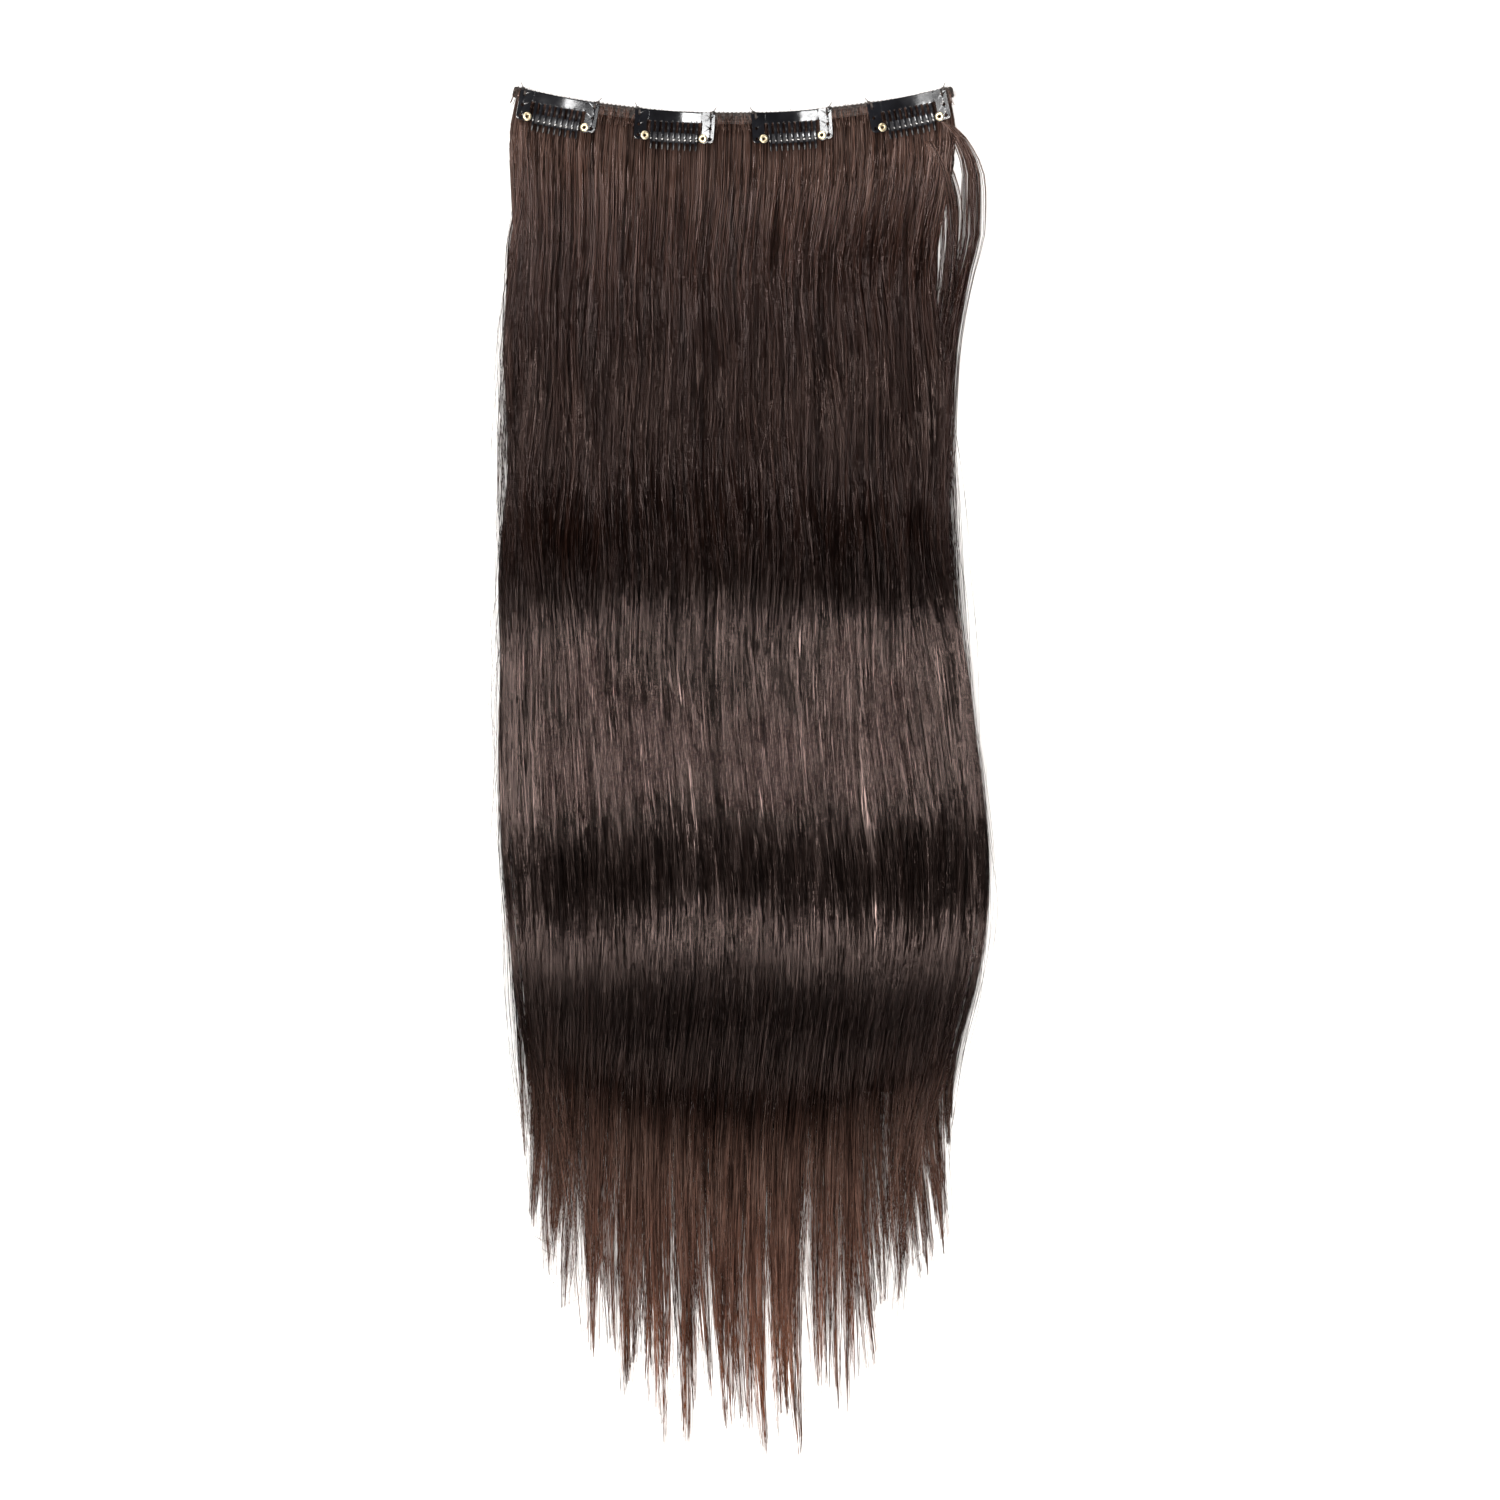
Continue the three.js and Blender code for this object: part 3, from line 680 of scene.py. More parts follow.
# The points of every strand, from the columns of its own row, its lock's and its wisp's
def strandPaths(locks, wisps, strands):
    own = {key: values[:, None] for key, values in strands.items()}
    lock = {key: values[strands["lock"]][:, None] for key, values in locks.items()}
    wisp = {key: values[strands["wisp"]][:, None] for key, values in wisps.items()}
    rootDown = (weft["gap"] - weft["stripHeight"]) / weft["hairLength"] * 0.9
    share = np.interp(np.linspace(0, 1, strandLook["points"]), *strandLook["knots"])[None, :]
    share = share ** own["knotPower"]
    down = rootDown + (own["reach"] - rootDown) * share
    along = np.clip((down - weft["parted"]) / (wisp["reach"] - weft["parted"]), 0, 1)
    gather = strandLook["gather"] * begun(down, "gather") * strandLook["lockSpread"]
    across = np.clip(mix(own["across"], lock["centre"], gather), -1, 1)
    leaving = np.minimum(down, curtainRows[-1]["down"])
    x, y = curtainPlan(across, down)
    heldX, _ = curtainPlan(across, leaving)
    wispX, _ = curtainPlan(wisp["across"], leaving)
    taper = readRows(wispTaper, "width", along, "along")
    taper = mix(taper, np.maximum(taper, 0.85), own["loose"])
    freeX = mix(wispX, wisp["endX"], smooth(along)) + (heldX - wispX) * taper
    freeX = freeX + wisp["bend"] * np.sin(along * math.pi)
    x = np.where(down > weft["parted"], freeX, x)
    sway = turned(down, lock["swayTurns"], lock["swayPhase"])
    swirl = turned(down, strandLook["swirlTurns"], 2.6 * lock["swayPhase"])
    kink = turned(down, own["kinkTurns"], own["kinkPhase"])
    wander = turned(down, own["wanderTurns"], own["wanderPhase"])
    inner = 1 - np.abs(own["across"]) ** 6
    x = x + strandLook["sway"] * sway * begun(down, "sway")
    x = x + strandLook["swirl"] * swirl * begun(down, "swirl") * (1 - begun(down, "swirlEnd"))
    x = x + strandLook["kink"] * kink * begun(down, "kink")
    x = x + own["wander"] * wander * inner * begun(down, "wander") * taper
    waved = down + (lock["wavePhase"] + own["wavePhase"]) * begun(down, "wave")
    waved = waved + lock["crestPhase"] * begun(down, "crest")
    waved = waved - own["rootPhase"] * begun(down, "root") * (1 - begun(down, "rootEnd"))
    top, under = waveHeights(waved)
    unbowed = 1 - smooth(down / weft["unbowed"])
    top = top + unbowed * stripRise(weft["stripLength"] / 2 * across)
    edge = 1 - 0.55 * np.abs(across) ** 8
    thick = (top - under) * edge * mix(1.0, taper, 0.7)
    lift = strandLook["lift"] * lock["rank"] * begun(down, "lift") * taper
    wispDepth = mix(own["depth"], wisp["rank"], 0.6 * smooth((along - 0.3) / 0.5))
    z = under + thick * (1 - wispDepth) + lift + 0.10 * kink * (1 - unbowed)
    z = z * (1 - 0.85 * smooth(along / 0.9))  # wisps come down to the floor
    thinned = strandLook["tipRadius"] / strandLook["radius"]
    radii = own["radius"] * mix(1.0, thinned, smooth((share - 0.72) / 0.28))
    return np.stack([x, y, np.maximum(z, radii + 0.02)], axis=-1), radii


def addHair(name, paths, radii, replaced="hair_curtain"):
    points, faces = tubes(paths, radii)
    obj = meshObject(name, points, faces, finishes["hair"])
    if replaced:
        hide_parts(replaced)


locks, wisps = lockTable(), wispTable()
strands = strandTable(locks, wisps)
paths, radii = strandPaths(locks, wisps, strands)
batches = 5
limits = np.linspace(0, strandLook["count"], batches + 1).round().astype(int)
for batch in range(batches):
    chosen = slice(limits[batch], limits[batch + 1])
    addHair(f"hair_locks_{batch + 1}", paths[chosen], radii[chosen])
print("locks made:", len(radii), "strands")


# The hair massed under the top strands, as one closed body
underlayer = {"columns": 64, "rows": 80, "fill": 0.45, "from": -0.004, "to": 0.72, "narrow": 0.93}


def makeUnderlayer():
    columns, rows = underlayer["columns"], underlayer["rows"]
    across = np.linspace(-1, 1, columns + 1)[None, :] * underlayer["narrow"]
    down = np.linspace(underlayer["from"], underlayer["to"], rows + 1)[:, None]
    across, down = np.broadcast_arrays(across, down)
    x, y = curtainPlan(across, down)
    top, under = waveHeights(down)
    rise = (1 - smooth(down / weft["unbowed"])) * stripRise(weft["stripLength"] / 2 * across)
    edge = 1 - 0.6 * np.abs(across) ** 6
    thin = 1 - smooth((down - 0.56) / (underlayer["to"] - 0.56))
    half = (top + rise - under) * edge * underlayer["fill"] / 2 * thin + 0.03
    middle = mix(0.1, under, thin) + half + 0.05
    ridges = 0.12 * np.sin(across * 150 + 6 * np.sin(down * 9)) * smooth(down / 0.1) * thin
    heights = [middle + half + ridges, np.maximum(middle - half, 0.05)]
    points = np.concatenate([np.stack([x, y, z], axis=-1).reshape(-1, 3) for z in heights])
    index = np.arange((rows + 1) * (columns + 1)).reshape(rows + 1, columns + 1)
    low = index + index.size
    walls = []
    for edgeTop, edgeLow in ((index[0], low[0]), (index[:, -1], low[:, -1]),
                             (index[-1, ::-1], low[-1, ::-1]), (index[::-1, 0], low[::-1, 0])):
        walls.append(np.stack([edgeTop[:-1], edgeTop[1:], edgeLow[1:], edgeLow[:-1]], axis=-1))
    obj = meshObject("hair_underlayer", points, [gridFaces(index), gridFaces(low.T), np.concatenate(walls)],
                     finishes["hair"])
    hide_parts("hair_curtain")


makeUnderlayer()
print("underlayer made")


# Side locks: they loop out from the strip's ends, rejoin the curtain and run on in it
sideLook = {"strands": 125, "points": 30, "joinTo": (0.62, 0.90), "joinAcross": (0.82, 0.96), "thickness": 2.4,
            "radius": 0.13, "ripples": (18, 50), "widths": ([0, 0.05, 0.15, 0.3, 0.8], [0.5, 1.0, 0.9, 1.0, 0.4])}


def sideLockPaths(look):
    spots = np.array(look["path"])
    knots = np.linspace(0, 1, len(spots))
    rows = [{"at": k, "across": a, "down": d} for k, (a, d) in zip(knots, spots)]
    count, steps = sideLook["strands"], sideLook["points"]
    looped = steps * 2 // 3
    share = np.linspace(0, 1, looped)
    side = np.sign(spots[-1, 0])
    loopX = readRows(rows, "across", share, "at") * weft["halfWidth"]
    loopDown = readRows(rows, "down", share, "at")
    joinTo = chance.uniform(*sideLook["joinTo"], (count, 1))
    onDown = spots[-1, 1] + (joinTo - spots[-1, 1]) * np.linspace(0, 1, steps - looped + 1)[None, 1:]
    inner = side * chance.uniform(*sideLook["joinAcross"], (count, 1))
    onX, _ = curtainPlan(inner, np.minimum(onDown, 0.76))
    startX, _ = curtainPlan(inner, spots[-1, 1])
    onX = onX - shiftX + (loopX[-1] - (startX - shiftX)) * np.exp(-(onDown - spots[-1, 1]) / 0.08)
    onX = onX - side * 14 * smooth((onDown - 0.62) / 0.28)
    whole = np.ones((count, 1))
    x = np.concatenate([loopX * whole, onX], axis=1)
    down = np.concatenate([loopDown * whole, onDown], axis=1)
    width = look["width"] / 2 * np.interp(down, *sideLook["widths"])
    place = np.clip(chance.normal(0, 0.62, (count, 1)), -1.7, 1.7)
    depth = chance.uniform(-1, 1, (count, 1))
    top, _ = waveHeights(down)
    lying = mix(1.5, top * 0.55, smooth((down - 0.15) / 0.15)) * (1 - 0.7 * smooth((down - 0.72) / 0.2))
    turns = chance.uniform(*sideLook["ripples"], (count, 1))
    x = x + shiftX + place * width + 0.4 * np.sin(down * turns + place * 9) * smooth(down / 0.05)
    y = shiftY - weft["stripHeight"] - down * weft["hairLength"]
    z = lying + depth * sideLook["thickness"] / 2 * np.sqrt(1 - np.minimum(place ** 2, 1) * 0.9)
    radii = sideLook["radius"] * chance.uniform(0.7, 1.2, (count, 1)) * mix(
        1.0, 0.3, smooth((down - joinTo + 0.12) / 0.12))
    return np.stack([x, y, np.maximum(z, radii)], axis=-1), radii


for look in sideLocks:
    addHair(look["name"], *sideLockPaths(look))
print("side locks made")


# Single hairs that stray from the edges and the ends
strayLook = {"radius": 0.08, "points": 18, "bends": (0.7, 1.6), "curls": (5, 12)}
strayGroups = tableOf("count across start length", [
    (200, (0.93, 1.0), (0.02, 0.5), (0.15, 0.45)),  # at the edges
    (200, (-0.9, 0.9), (0.55, 0.7), (0.18, 0.33)),  # at the ends
    (60, (-0.95, 0.95), (0.02, 0.5), (0.15, 0.4)),  # on the surface
])


def strayPaths():
    edge, ends, surface = [group["count"] for group in strayGroups]
    count = edge + ends + surface
    share = np.linspace(0, 1, strayLook["points"])[None, :]
    edgeSide = np.where(chance.uniform(0, 1, edge) < 0.5, -1.0, 1.0)
    across, start, length = [
        np.concatenate([chance.uniform(*group[key], group["count"]) for group in strayGroups])[:, None]
        for key in ("across", "start", "length")]
    across[:edge, 0] *= edgeSide
    outward = np.concatenate([edgeSide * chance.gamma(1.5, 1.6, edge), chance.normal(0, 5.0, ends),
                              chance.normal(0, 6.0, surface)])[:, None]
    limit = 0.80 + 0.18 * (1 - across ** 2)
    down = np.minimum(start + length * share, limit - 0.02 * (1 - share))
    leaving = np.minimum(down, curtainRows[-1]["down"])
    x, y = curtainPlan(across, down)
    endAcross = np.interp(across, [-1, 1], [lockEnds[0]["across"], lockEnds[-1]["across"]])
    freeX = mix(curtainPlan(across, leaving)[0], endAcross * weft["halfWidth"] + shiftX,
                smooth((down - weft["parted"]) / 0.35))
    x = np.where(down > weft["parted"], freeX, x)
    bend = np.sin(share * math.pi * chance.uniform(*strayLook["bends"], (count, 1)))
    x = x + outward * bend + 0.8 * np.sin(share * chance.uniform(*strayLook["curls"], (count, 1)))
    top, under = waveHeights(down)
    onTop = (np.arange(count) >= edge + ends)[:, None]
    z = np.where(onTop, top + 0.5 + 1.2 * np.sin(share * math.pi), (top + under) / 2)
    z = z * np.where(onTop, 1.0, 1 - 0.8 * smooth((down - 0.7) / 0.25)) + 0.15
    radii = strayLook["radius"] * mix(1.0, 0.4, smooth((share - 0.7) / 0.3)) * np.ones_like(x)
    return np.stack([x, y, np.maximum(z, radii)], axis=-1), radii


addHair("hair_strays", *strayPaths())
print("stray hairs made")


# The sewn strip: a folded tape with rows of stitches and a fuzz of short hair ends
stripLook = {"stations": 420, "around": 20, "unevenness": 0.10, "edgeRound": 0.62,
             "stitchPitch": 2.3, "stitchRadius": 0.14, "stitchRows": [1.0, 2.4, 3.7],
             "overPitch": 1.7, "rootHairs": 700, "upwardHairs": 140}


def stripFrame(along, below, up):
    x, y = onArc(along, below)
    z = weft["rootThickness"] + weft["gap"] + stripRise(along) + up
    return np.stack(np.broadcast_arrays(x, y, z), axis=-1)


# A circle's wave made squarer, the more so the smaller the power
def squarer(wave, power):
    return np.sign(wave) * np.abs(wave) ** power


def makeStrip():
    half = weft["stripLength"] / 2
    along = np.linspace(-half, half, stripLook["stations"])[:, None]
    turn = np.linspace(0, 2 * math.pi, stripLook["around"], endpoint=False)[None, :]
    below = weft["stripHeight"] / 2 * (1 + squarer(np.cos(turn), stripLook["edgeRound"]) * 0.97)
    up = weft["stripThickness"] / 2 * (1 + squarer(np.sin(turn), stripLook["edgeRound"]) * 0.92)
    lumps = (np.sin(along * 3.7 + 2 * np.cos(turn)) + np.sin(along * 1.9 + 5 * np.sin(turn))
             + np.sin(along * 7.9 + 3 * turn)) / 3
    below = below + stripLook["unevenness"] * lumps * np.cos(turn)
    up = np.maximum(up + stripLook["unevenness"] * lumps * np.sin(turn), 0.05)
    ends = np.minimum(1.0, (half - np.abs(along)) / 0.7 + 0.72)
    below = weft["stripHeight"] / 2 + (below - weft["stripHeight"] / 2) * ends
    points = stripFrame(np.broadcast_to(along, below.shape), below, up)
    index = np.arange(points[..., 0].size).reshape(points.shape[:2])
    caps = np.stack([index[0], index[-1, ::-1]])
    obj = meshObject("strip_tape", points.reshape(-1, 3), [gridFaces(index, closed=[1]), caps],
                     finishes["tape"])
    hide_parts("weft_strip")


def makeStripStitches():
    half = weft["stripLength"] / 2 - 1.5
    starts = np.arange(-half, half - stripLook["stitchPitch"], stripLook["stitchPitch"])
    share = np.linspace(0, 1, 8)[None, :]
    runs = []
    for row in stripLook["stitchRows"]:
        jitter = chance.normal(0, 0.08, (len(starts), 1))
        along = starts[:, None] + stripLook["stitchPitch"] * 0.86 * share
        arch = weft["stripThickness"] - 0.05 + 0.2 * np.sin(math.pi * share)
        runs.append(stripFrame(along, row + jitter + 0.12 * np.sin(share * math.pi), arch))
    edges = np.arange(-half, half, stripLook["overPitch"])[:, None]
    turn = np.linspace(-0.15, 1.15, 8)[None, :] * math.pi
    middle = weft["stripThickness"] / 2
    over = stripFrame(edges + 0.5 * np.cos(turn), 0.95 - 1.15 * np.sin(turn),
                      middle + (middle + 0.06) * np.cos(turn))
    paths = np.concatenate(runs + [over])
    radii = np.full(paths.shape[:2], stripLook["stitchRadius"])
    points, faces = tubes(paths, radii, sides=6)
    meshObject("strip_stitches", points, faces, finishes["thread"])


# Hairs caught in the stitches: they cross the strip's face and drop to the curtain, and a few stand up
def makeStripFuzz():
    half = weft["stripLength"] / 2 - 0.6
    count, upward = stripLook["rootHairs"], stripLook["upwardHairs"]
    share = np.linspace(0, 1, 8)[None, :]
    along = chance.uniform(-half, half, (count, 1))
    begin = chance.uniform(0.2, 3.4, (count, 1))
    below = mix(begin, chance.uniform(5.6, 8.5, (count, 1)), share)
    lean = chance.normal(0, 0.9, (count, 1)) * share
    onFace = 1 - smooth((below - weft["stripHeight"] + 0.4) / 1.8)
    fall = weft["stripThickness"] + 0.10 + 0.22 * np.sin(share * math.pi)
    up = mix(-0.28, fall, onFace)
    radii = 0.12 * np.ones_like(below)
    addHair("strip_root_hairs", stripFrame(along + lean, below, up), radii, replaced=None)
    share = np.linspace(0, 1, 6)[None, :]
    along = chance.uniform(-half, half, (upward, 1)) + chance.normal(0, 1.0, (upward, 1)) * share
    below = 0.4 - chance.uniform(0.6, 2.4, (upward, 1)) * share
    up = weft["stripThickness"] * 0.8 + chance.uniform(0.0, 0.7, (upward, 1)) * np.sin(share * math.pi * 0.8)
    radii = 0.05 * mix(1.0, 0.4, share) * np.ones((upward, 1))
    addHair("strip_fuzz", stripFrame(along, below, up), radii, replaced=None)


makeStrip()
makeStripStitches()
makeStripFuzz()
print("strip made")


# Clips

plateLook = {"bevel": 0.11, "barBevel": 0.1, "segments": 2}


def clipMatrix(clip):
    place = Matrix.Translation((clip["x"] * mm, clip["y"] * mm, stripTop * mm))
    return place @ Matrix.Rotation(clip["angle"], 4, "Z")


def earMatrix(clip, side):
    lean = (Matrix.Translation((side * earStart * mm, 0, float(bow(earStart)) * mm))
            @ Matrix.Rotation(-side * earSlope, 4, "Y"))
    return clipMatrix(clip) @ lean


def roundEdges(obj, width):
    rounded = obj.modifiers.new("rounded edges", "BEVEL")
    rounded.width = width * mm
    rounded.segments = plateLook["segments"]
    rounded.limit_method = "ANGLE"
    rounded.angle_limit = math.radians(45)


# Adds a piece of a clip where the matrix puts it
def addClipPiece(clip, part, points, faces, finish, matrix, body="weft", replaced=None):
    obj = meshObject(f"clip_{clip['number']}_{part}", points, faces, finishes[finish], body)
    obj.data.transform(matrix)
    if replaced:
        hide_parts(f"clip_{clip['number']}_{replaced}")
    return obj


def finishPlate(obj, thickness, bevel):
    solid = obj.modifiers.new("thickness", "SOLIDIFY")
    solid.thickness = thickness * mm
    solid.offset = 0.0
    if bevel:
        roundEdges(obj, bevel)
        obj.modifiers.new("flat faces stay flat", "WEIGHTED_NORMAL")


def leafHeight(x, lift):
    return weft["gap"] + snap["leafThickness"] / 2 + bow(x) + lift * snap["toothArch"]


toothRows = tableOf("along lift", [(0.0, 0.0), (0.18, 0.35), (0.38, 0.92), (0.6, 1.0), (0.82, 0.4), (1.0, -0.5)])


def makeComb(clip):
    steps = 15
    bandRows = np.array([0.0, 0.5, 1.6, 3.0, snap["bandHeight"]])
    centres = (np.arange(snap["toothCount"]) - (snap["toothCount"] - 1) / 2) * snap["toothPitch"]
    rootHalf = snap["toothRootWidth"] / 2
    inner = snap["combHalfWidth"] - 0.2
    columns = np.concatenate([[-inner], (centres[:, None] + [-rootHalf, 0, rootHalf]).ravel(), [inner]])
    points, faces, index = [], [], {}

    def corner(x, y, lift):
        key = (round(x, 4), round(y, 4))
        if key not in index:
            index[key] = len(points)
            points.append((x, y, float(leafHeight(x, lift))))
        return index[key]

    for left, right in zip(columns[:-1], columns[1:]):
        for high, low in zip(bandRows[:-1], bandRows[1:]):
            faces.append((corner(left, -high, 0), corner(left, -low, 0), corner(right, -low, 0),
                          corner(right, -high, 0)))
    shares = np.linspace(0, 1, steps + 1)
    lifts = readRows(toothRows, "lift", shares, "along")
    halves = mix(rootHalf, snap["toothTipWidth"] / 2, shares)
    halves[-1] *= 0.5
    downs = -snap["bandHeight"] - snap["toothLength"] * shares
    for centre in centres:
        for i in range(steps):
            for a, b in ((-1, 0), (0, 1)):
                faces.append((corner(centre + a * halves[i], downs[i], lifts[i]),
                              corner(centre + a * halves[i + 1], downs[i + 1], lifts[i + 1]),
                              corner(centre + b * halves[i + 1], downs[i + 1], lifts[i + 1]),
                              corner(centre + b * halves[i], downs[i], lifts[i])))
    obj = addClipPiece(clip, "comb_leaf", points, [faces], "enamel", clipMatrix(clip),
                       body=clip["body"], replaced="comb")
    finishPlate(obj, snap["leafThickness"], plateLook["bevel"])


# The twisting neck of steel between the comb and an ear
def makeNeck(clip, side, word):
    reach = (snap["combHalfWidth"] - 0.35, earStart + 0.35)
    xs = np.linspace(reach[0], reach[1], 7) * side
    ys = -np.linspace(0.05, snap["bandHeight"] - 0.05, 5)
    x, y = np.meshgrid(xs, ys)
    points = np.stack([x, y, leafHeight(x, 0)], axis=-1).reshape(-1, 3)
    index = np.arange(x.size).reshape(x.shape)
    quads = gridFaces(index)[:, ::side]
    obj = addClipPiece(clip, f"neck_{word}", points, [quads], "enamel", clipMatrix(clip), body=None)
    finishPlate(obj, snap["leafThickness"] - 0.06, 0)
    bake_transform(obj)


def circle(x, y, radius, start, end, steps):
    turns = np.radians(np.linspace(start, end, steps))
    return [(x + radius * math.cos(t), y + radius * math.sin(t)) for t in turns]


def makeEar(clip, side, word):
    below = snap["rivetBelowTop"]
    holeX = snap["earWidth"] - snap["sewHoleInset"]
    corner = snap["earCorner"]
    waist = snap["earWaist"]
    outline = [(0.05, 0), (0.05, -snap["bandHeight"] + 0.2)]
    outline += circle(waist + 0.25, -snap["bandHeight"] - 0.35, 0.3, 150, 185, 4)
    outline += circle(rivetX, -below, snap["rivetLobeRadius"], 105, 290, 22)
    outline += circle(holeX, -below, snap["sewHoleInset"], -125, 0, 14)
    outline += circle(snap["earWidth"] - corner, -corner, corner, 0, 90, 8)
    holes = [circle(holeX, -mix(snap["sewHoleTop"], below, share), snap["sewHoleRadius"], 0, 345, 24)
             for share in (0, 0.5, 1)]
    holes.append(circle(rivetX, -below, snap["rivetBarrelRadius"] + 0.1, 0, 345, 24))
    middle = weft["gap"] + snap["leafThickness"] / 2
    builder = bmesh.new()
    for loop in [outline] + holes:
        corners = [builder.verts.new((side * px * mm, py * mm, middle * mm)) for px, py in loop]
        for first, second in zip(corners, corners[1:] + corners[:1]):
            builder.edges.new((first, second))
    bmesh.ops.triangle_fill(builder, edges=builder.edges[:], use_beauty=True)
    bmesh.ops.recalc_face_normals(builder, faces=builder.faces[:])
    builder.verts.index_update()
    points = [tuple(vert.co / mm) for vert in builder.verts]
    faces = [[vert.index for vert in face.verts] for face in builder.faces]
    builder.free()
    obj = addClipPiece(clip, f"ear_plate_{word}", points, [faces], "enamel", earMatrix(clip, side),
                       replaced=f"ear_{word}")
    finishPlate(obj, snap["leafThickness"], plateLook["bevel"])


# A hollow rivet with a rolled head: the closed outline turned round its own axis
def makeRivet(clip, side, word):
    top = weft["gap"] + snap["leafThickness"] + 0.05
    bottom = -snap["barThickness"] - 0.05
    head, bore = snap["rivetHeadRadius"], snap["rivetBoreRadius"]
    profile = [(bore, bottom - 0.2), (bore + 0.15, bottom - 0.36), (bore + 0.5, bottom - 0.4),
               (head * 0.8, bottom - 0.25), (head * 0.85, bottom), (snap["rivetBarrelRadius"], bottom),
               (snap["rivetBarrelRadius"], top), (head - 0.05, top), (head, top + 0.12),
               (head - 0.12, top + 0.34), (head * 0.75, top + 0.46), (head * 0.58, top + 0.5),
               (bore + 0.22, top + 0.44), (bore + 0.05, top + 0.28), (bore, top)]
    profile = np.array(profile)
    sides = 32
    turn = np.linspace(0, 2 * math.pi, sides, endpoint=False)[:, None]
    points = np.stack(np.broadcast_arrays(profile[:, 0] * np.cos(turn), profile[:, 0] * np.sin(turn),
                                          profile[:, 1] + 0 * turn), axis=-1)
    index = np.arange(points[..., 0].size).reshape(points.shape[:2])
    spot = Matrix.Translation((side * rivetX * mm, -snap["rivetBelowTop"] * mm, 0))
    addClipPiece(clip, f"eyelet_{word}", points.reshape(-1, 3), [gridFaces(index, closed=[0, 1])], "brass",
                 earMatrix(clip, side) @ spot, replaced=f"rivet_{word}")


# An oval tube that follows the bar's bow
def makeSleeve(clip):
    around, steps = 28, 24
    middle = -snap["barThickness"] / 2
    innerHalf = (1.4, snap["barThickness"] / 2 + weft["gap"])
    outerHalf = (snap["sleeveWidth"] / 2, innerHalf[1] + snap["sleeveWall"])
    turn = np.linspace(0, 2 * math.pi, around, endpoint=False)
    half = snap["sleeveLength"] / 2
    xs = np.linspace(-half, half, steps)
    outer = [(-half, outerHalf, 0.9)] + [(x * 0.985, outerHalf, 1.0) for x in xs] + [(half, outerHalf, 0.9)]
    inner = [(x, innerHalf, 1.0) for x in xs[::-1]]
    rings = []
    for x, (wide, high), grow in outer + inner:
        y = wide * grow * squarer(np.cos(turn), snap["sleeveRound"]) - snap["rivetBelowTop"]
        z = middle + bow(x) + high * grow * squarer(np.sin(turn), snap["sleeveRound"])
        rings.append(np.stack([np.full(around, x), y, z], axis=-1))
    points = np.array(rings)
    index = np.arange(points[..., 0].size).reshape(points.shape[:2])
    addClipPiece(clip, "tube", points.reshape(-1, 3), [gridFaces(index.T, closed=[0, 1])], "silicone",
                 clipMatrix(clip), replaced="sleeve")


# Thread that holds an ear to the strip: loops through the top hole and a knot at the corner
threadLook = {"radius": 0.15, "loops": [-0.28, 0.0, 0.26], "knotSize": 0.62}


def makeEarThread(clip, side, word):
    edge, hole = snap["earWidth"], -snap["sewHoleTop"]
    top = weft["gap"] + snap["leafThickness"] + threadLook["radius"]
    low = -weft["stripThickness"] - 0.12
    loop = [(hole - 0.25, top - 0.35), (hole + 0.15, top + 0.02), (-1.2, top + 0.03), (-0.4, top + 0.02),
            (0.16, top - 0.2), (0.25, (top + low) / 2), (0.16, low + 0.2), (-0.4, low), (-1.4, low),
            (hole - 0.1, low + 0.2), (hole - 0.25, (top + low) / 2)]
    loop = np.array(loop + loop[:1])
    knotTurn = np.linspace(0, 2 * math.pi, 40)
    knot = np.stack([np.sin(knotTurn) + 2 * np.sin(2 * knotTurn), np.cos(knotTurn) - 2 * np.cos(2 * knotTurn),
                     -1.2 * np.sin(3 * knotTurn)], axis=-1) * threadLook["knotSize"] / 3
    knot = knot + np.array([edge - 0.7, 0.15, top + 0.1])
    tail = np.array([(edge - 0.7, 0.2, top), (edge - 0.3, 0.9, top + 0.5), (edge + 0.2, 1.5, top + 0.4),
                     (edge + 0.4, 2.1, top + 0.1)])
    loops = [np.stack([np.full(len(loop), edge - snap["sewHoleInset"] + shift), loop[:, 0], loop[:, 1]], axis=-1)
             for shift in threadLook["loops"]]
    parts, faces, offset = [], [[], []], 0
    for path in loops + [knot, tail]:
        path = path * np.array([side, 1, 1])
        points, walls = tubes(path[None], np.full((1, len(path)), threadLook["radius"]), sides=6)
        parts.append(points)
        for group, made in zip(faces, walls):
            group.append(made + offset)
        offset += len(points)
    addClipPiece(clip, f"thread_{word}", np.concatenate(parts), [np.concatenate(group) for group in faces],
                 "thread", earMatrix(clip, side))


for clip in clips:
    makeComb(clip)
    makeSleeve(clip)
    for side, word in ((-1, "left"), (1, "right")):
        makeNeck(clip, side, word)
        makeEar(clip, side, word)
        makeRivet(clip, side, word)
        makeEarThread(clip, side, word)
    bar = frame["nodes"][f"clip_{clip['number']}_bar"]
    bar.data.materials.clear()
    bar.data.materials.append(finishes["enamel"])
    roundEdges(bar, plateLook["barBevel"])
print("clips made")


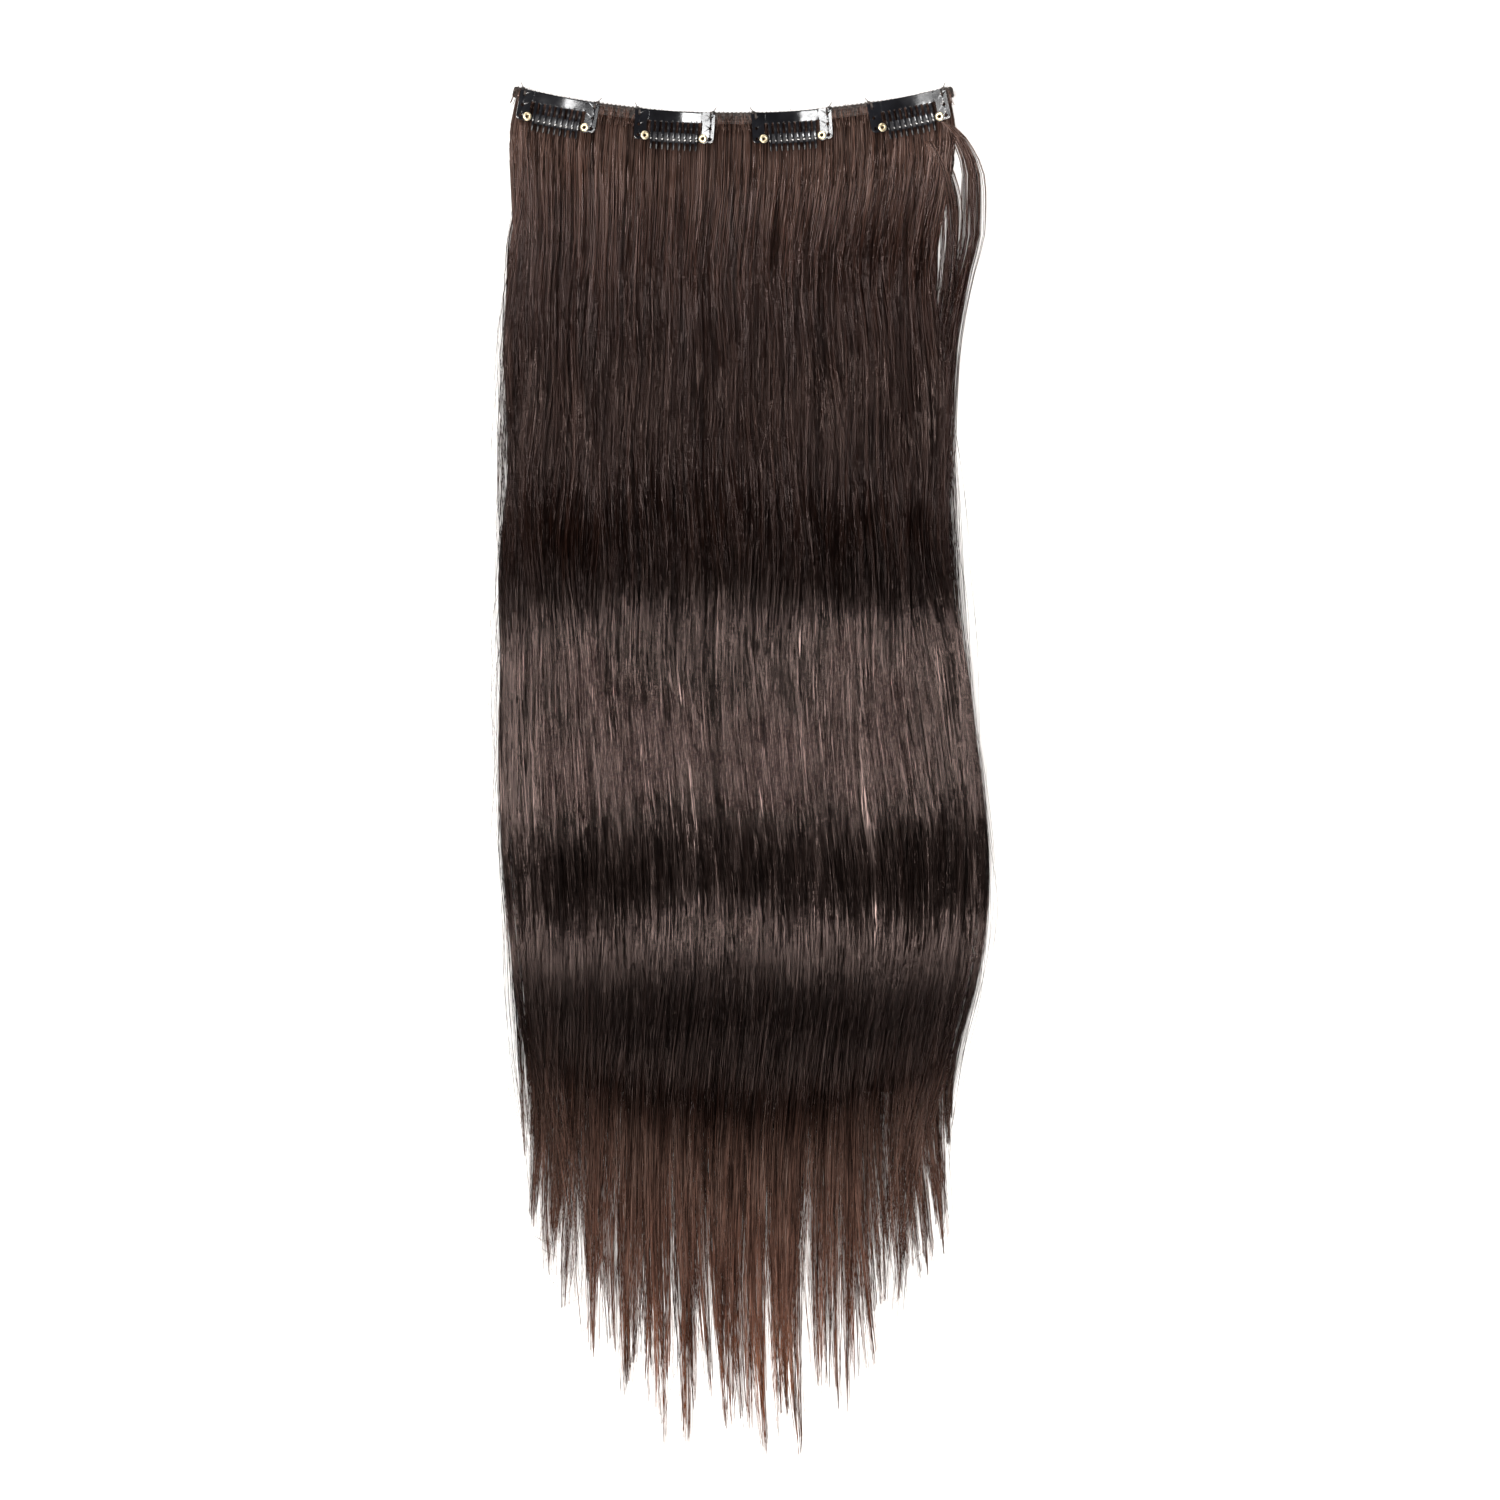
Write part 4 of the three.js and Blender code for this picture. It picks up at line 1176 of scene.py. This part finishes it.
# Studio: pale paper, a long overhead softbox for the bands of gloss, one for the clips, and two broad
# far fills that light the whole floor alike
studio = {
    "frameWidth": 592.5,  # mm of the picture at the object
    "aim": (2.6, 10.9),  # mm from the object's middle
    "distance": 2.0,
    "dome": 0.06,
    "floorSize": 40000.0,  # mm, so that no view sees its edge
    "lamps": [
        {"name": "overhead_strip", "place": (-0.25, -0.10, 2.4), "target": (0, -0.10, 0), "size": (2.0, 0.20),
         "power": 62.0, "colour": "#fffaf5"},
        {"name": "clip_glint", "place": (-0.92, 0.57, 2.2), "target": (0, 0.2, 0), "size": (1.15, 0.17),
         "power": 24.0, "colour": "#ffffff"},
        {"name": "fill_below", "place": (0.2, -2.2, 1.5), "target": (0, 0, 0), "spread": 38.0, "power": 1.45,
         "colour": "#fffaf6"},
        {"name": "fill_above", "place": (-0.2, 2.3, 1.5), "target": (0, 0, 0), "spread": 38.0, "power": 1.40,
         "colour": "#fffaf6"},
    ],
}


def makeStudio():
    corners = [(x * studio["floorSize"], y * studio["floorSize"], 0) for x, y in ((-1, -1), (1, -1), (1, 1), (-1, 1))]
    meshObject("paper_floor", corners, [[(0, 1, 2, 3)]], finishes["paper"], body=None)
    for lamp in studio["lamps"]:
        if "spread" in lamp:
            light = bpy.data.lights.new(lamp["name"], "SUN")
            light.angle = math.radians(lamp["spread"])
        else:
            light = bpy.data.lights.new(lamp["name"], "AREA")
            light.shape = "RECTANGLE"
            light.size, light.size_y = lamp["size"]
        light.energy = lamp["power"]
        light.color = linearColour(lamp["colour"])[:3]
        obj = bpy.data.objects.new(lamp["name"], light)
        obj.location = lamp["place"]
        back = (Vector(lamp["place"]) - Vector(lamp["target"])).normalized()
        right = (Vector((1, 0, 0)) - back * back.x).normalized()
        obj.rotation_euler = Matrix((right, back.cross(right), back)).transposed().to_euler()
        obj.visible_camera = False
        bpy.context.scene.collection.objects.link(obj)
    world = bpy.data.worlds.new("soft_dome")
    world.use_nodes = True
    dome = world.node_tree.nodes["Background"]
    dome.inputs["Color"].default_value = linearColour("#ffffff")
    dome.inputs["Strength"].default_value = studio["dome"]
    bpy.context.scene.world = world
    camera = bpy.data.cameras.new("camera")
    camera.lens = camera.sensor_width * studio["distance"] / (studio["frameWidth"] * mm)
    view = bpy.data.objects.new("camera", camera)
    view.location = (studio["aim"][0] * mm, studio["aim"][1] * mm, studio["distance"])
    bpy.context.scene.collection.objects.link(view)
    bpy.context.scene.camera = view
    bpy.context.scene.view_settings.view_transform = "Standard"


makeStudio()
print("studio made")
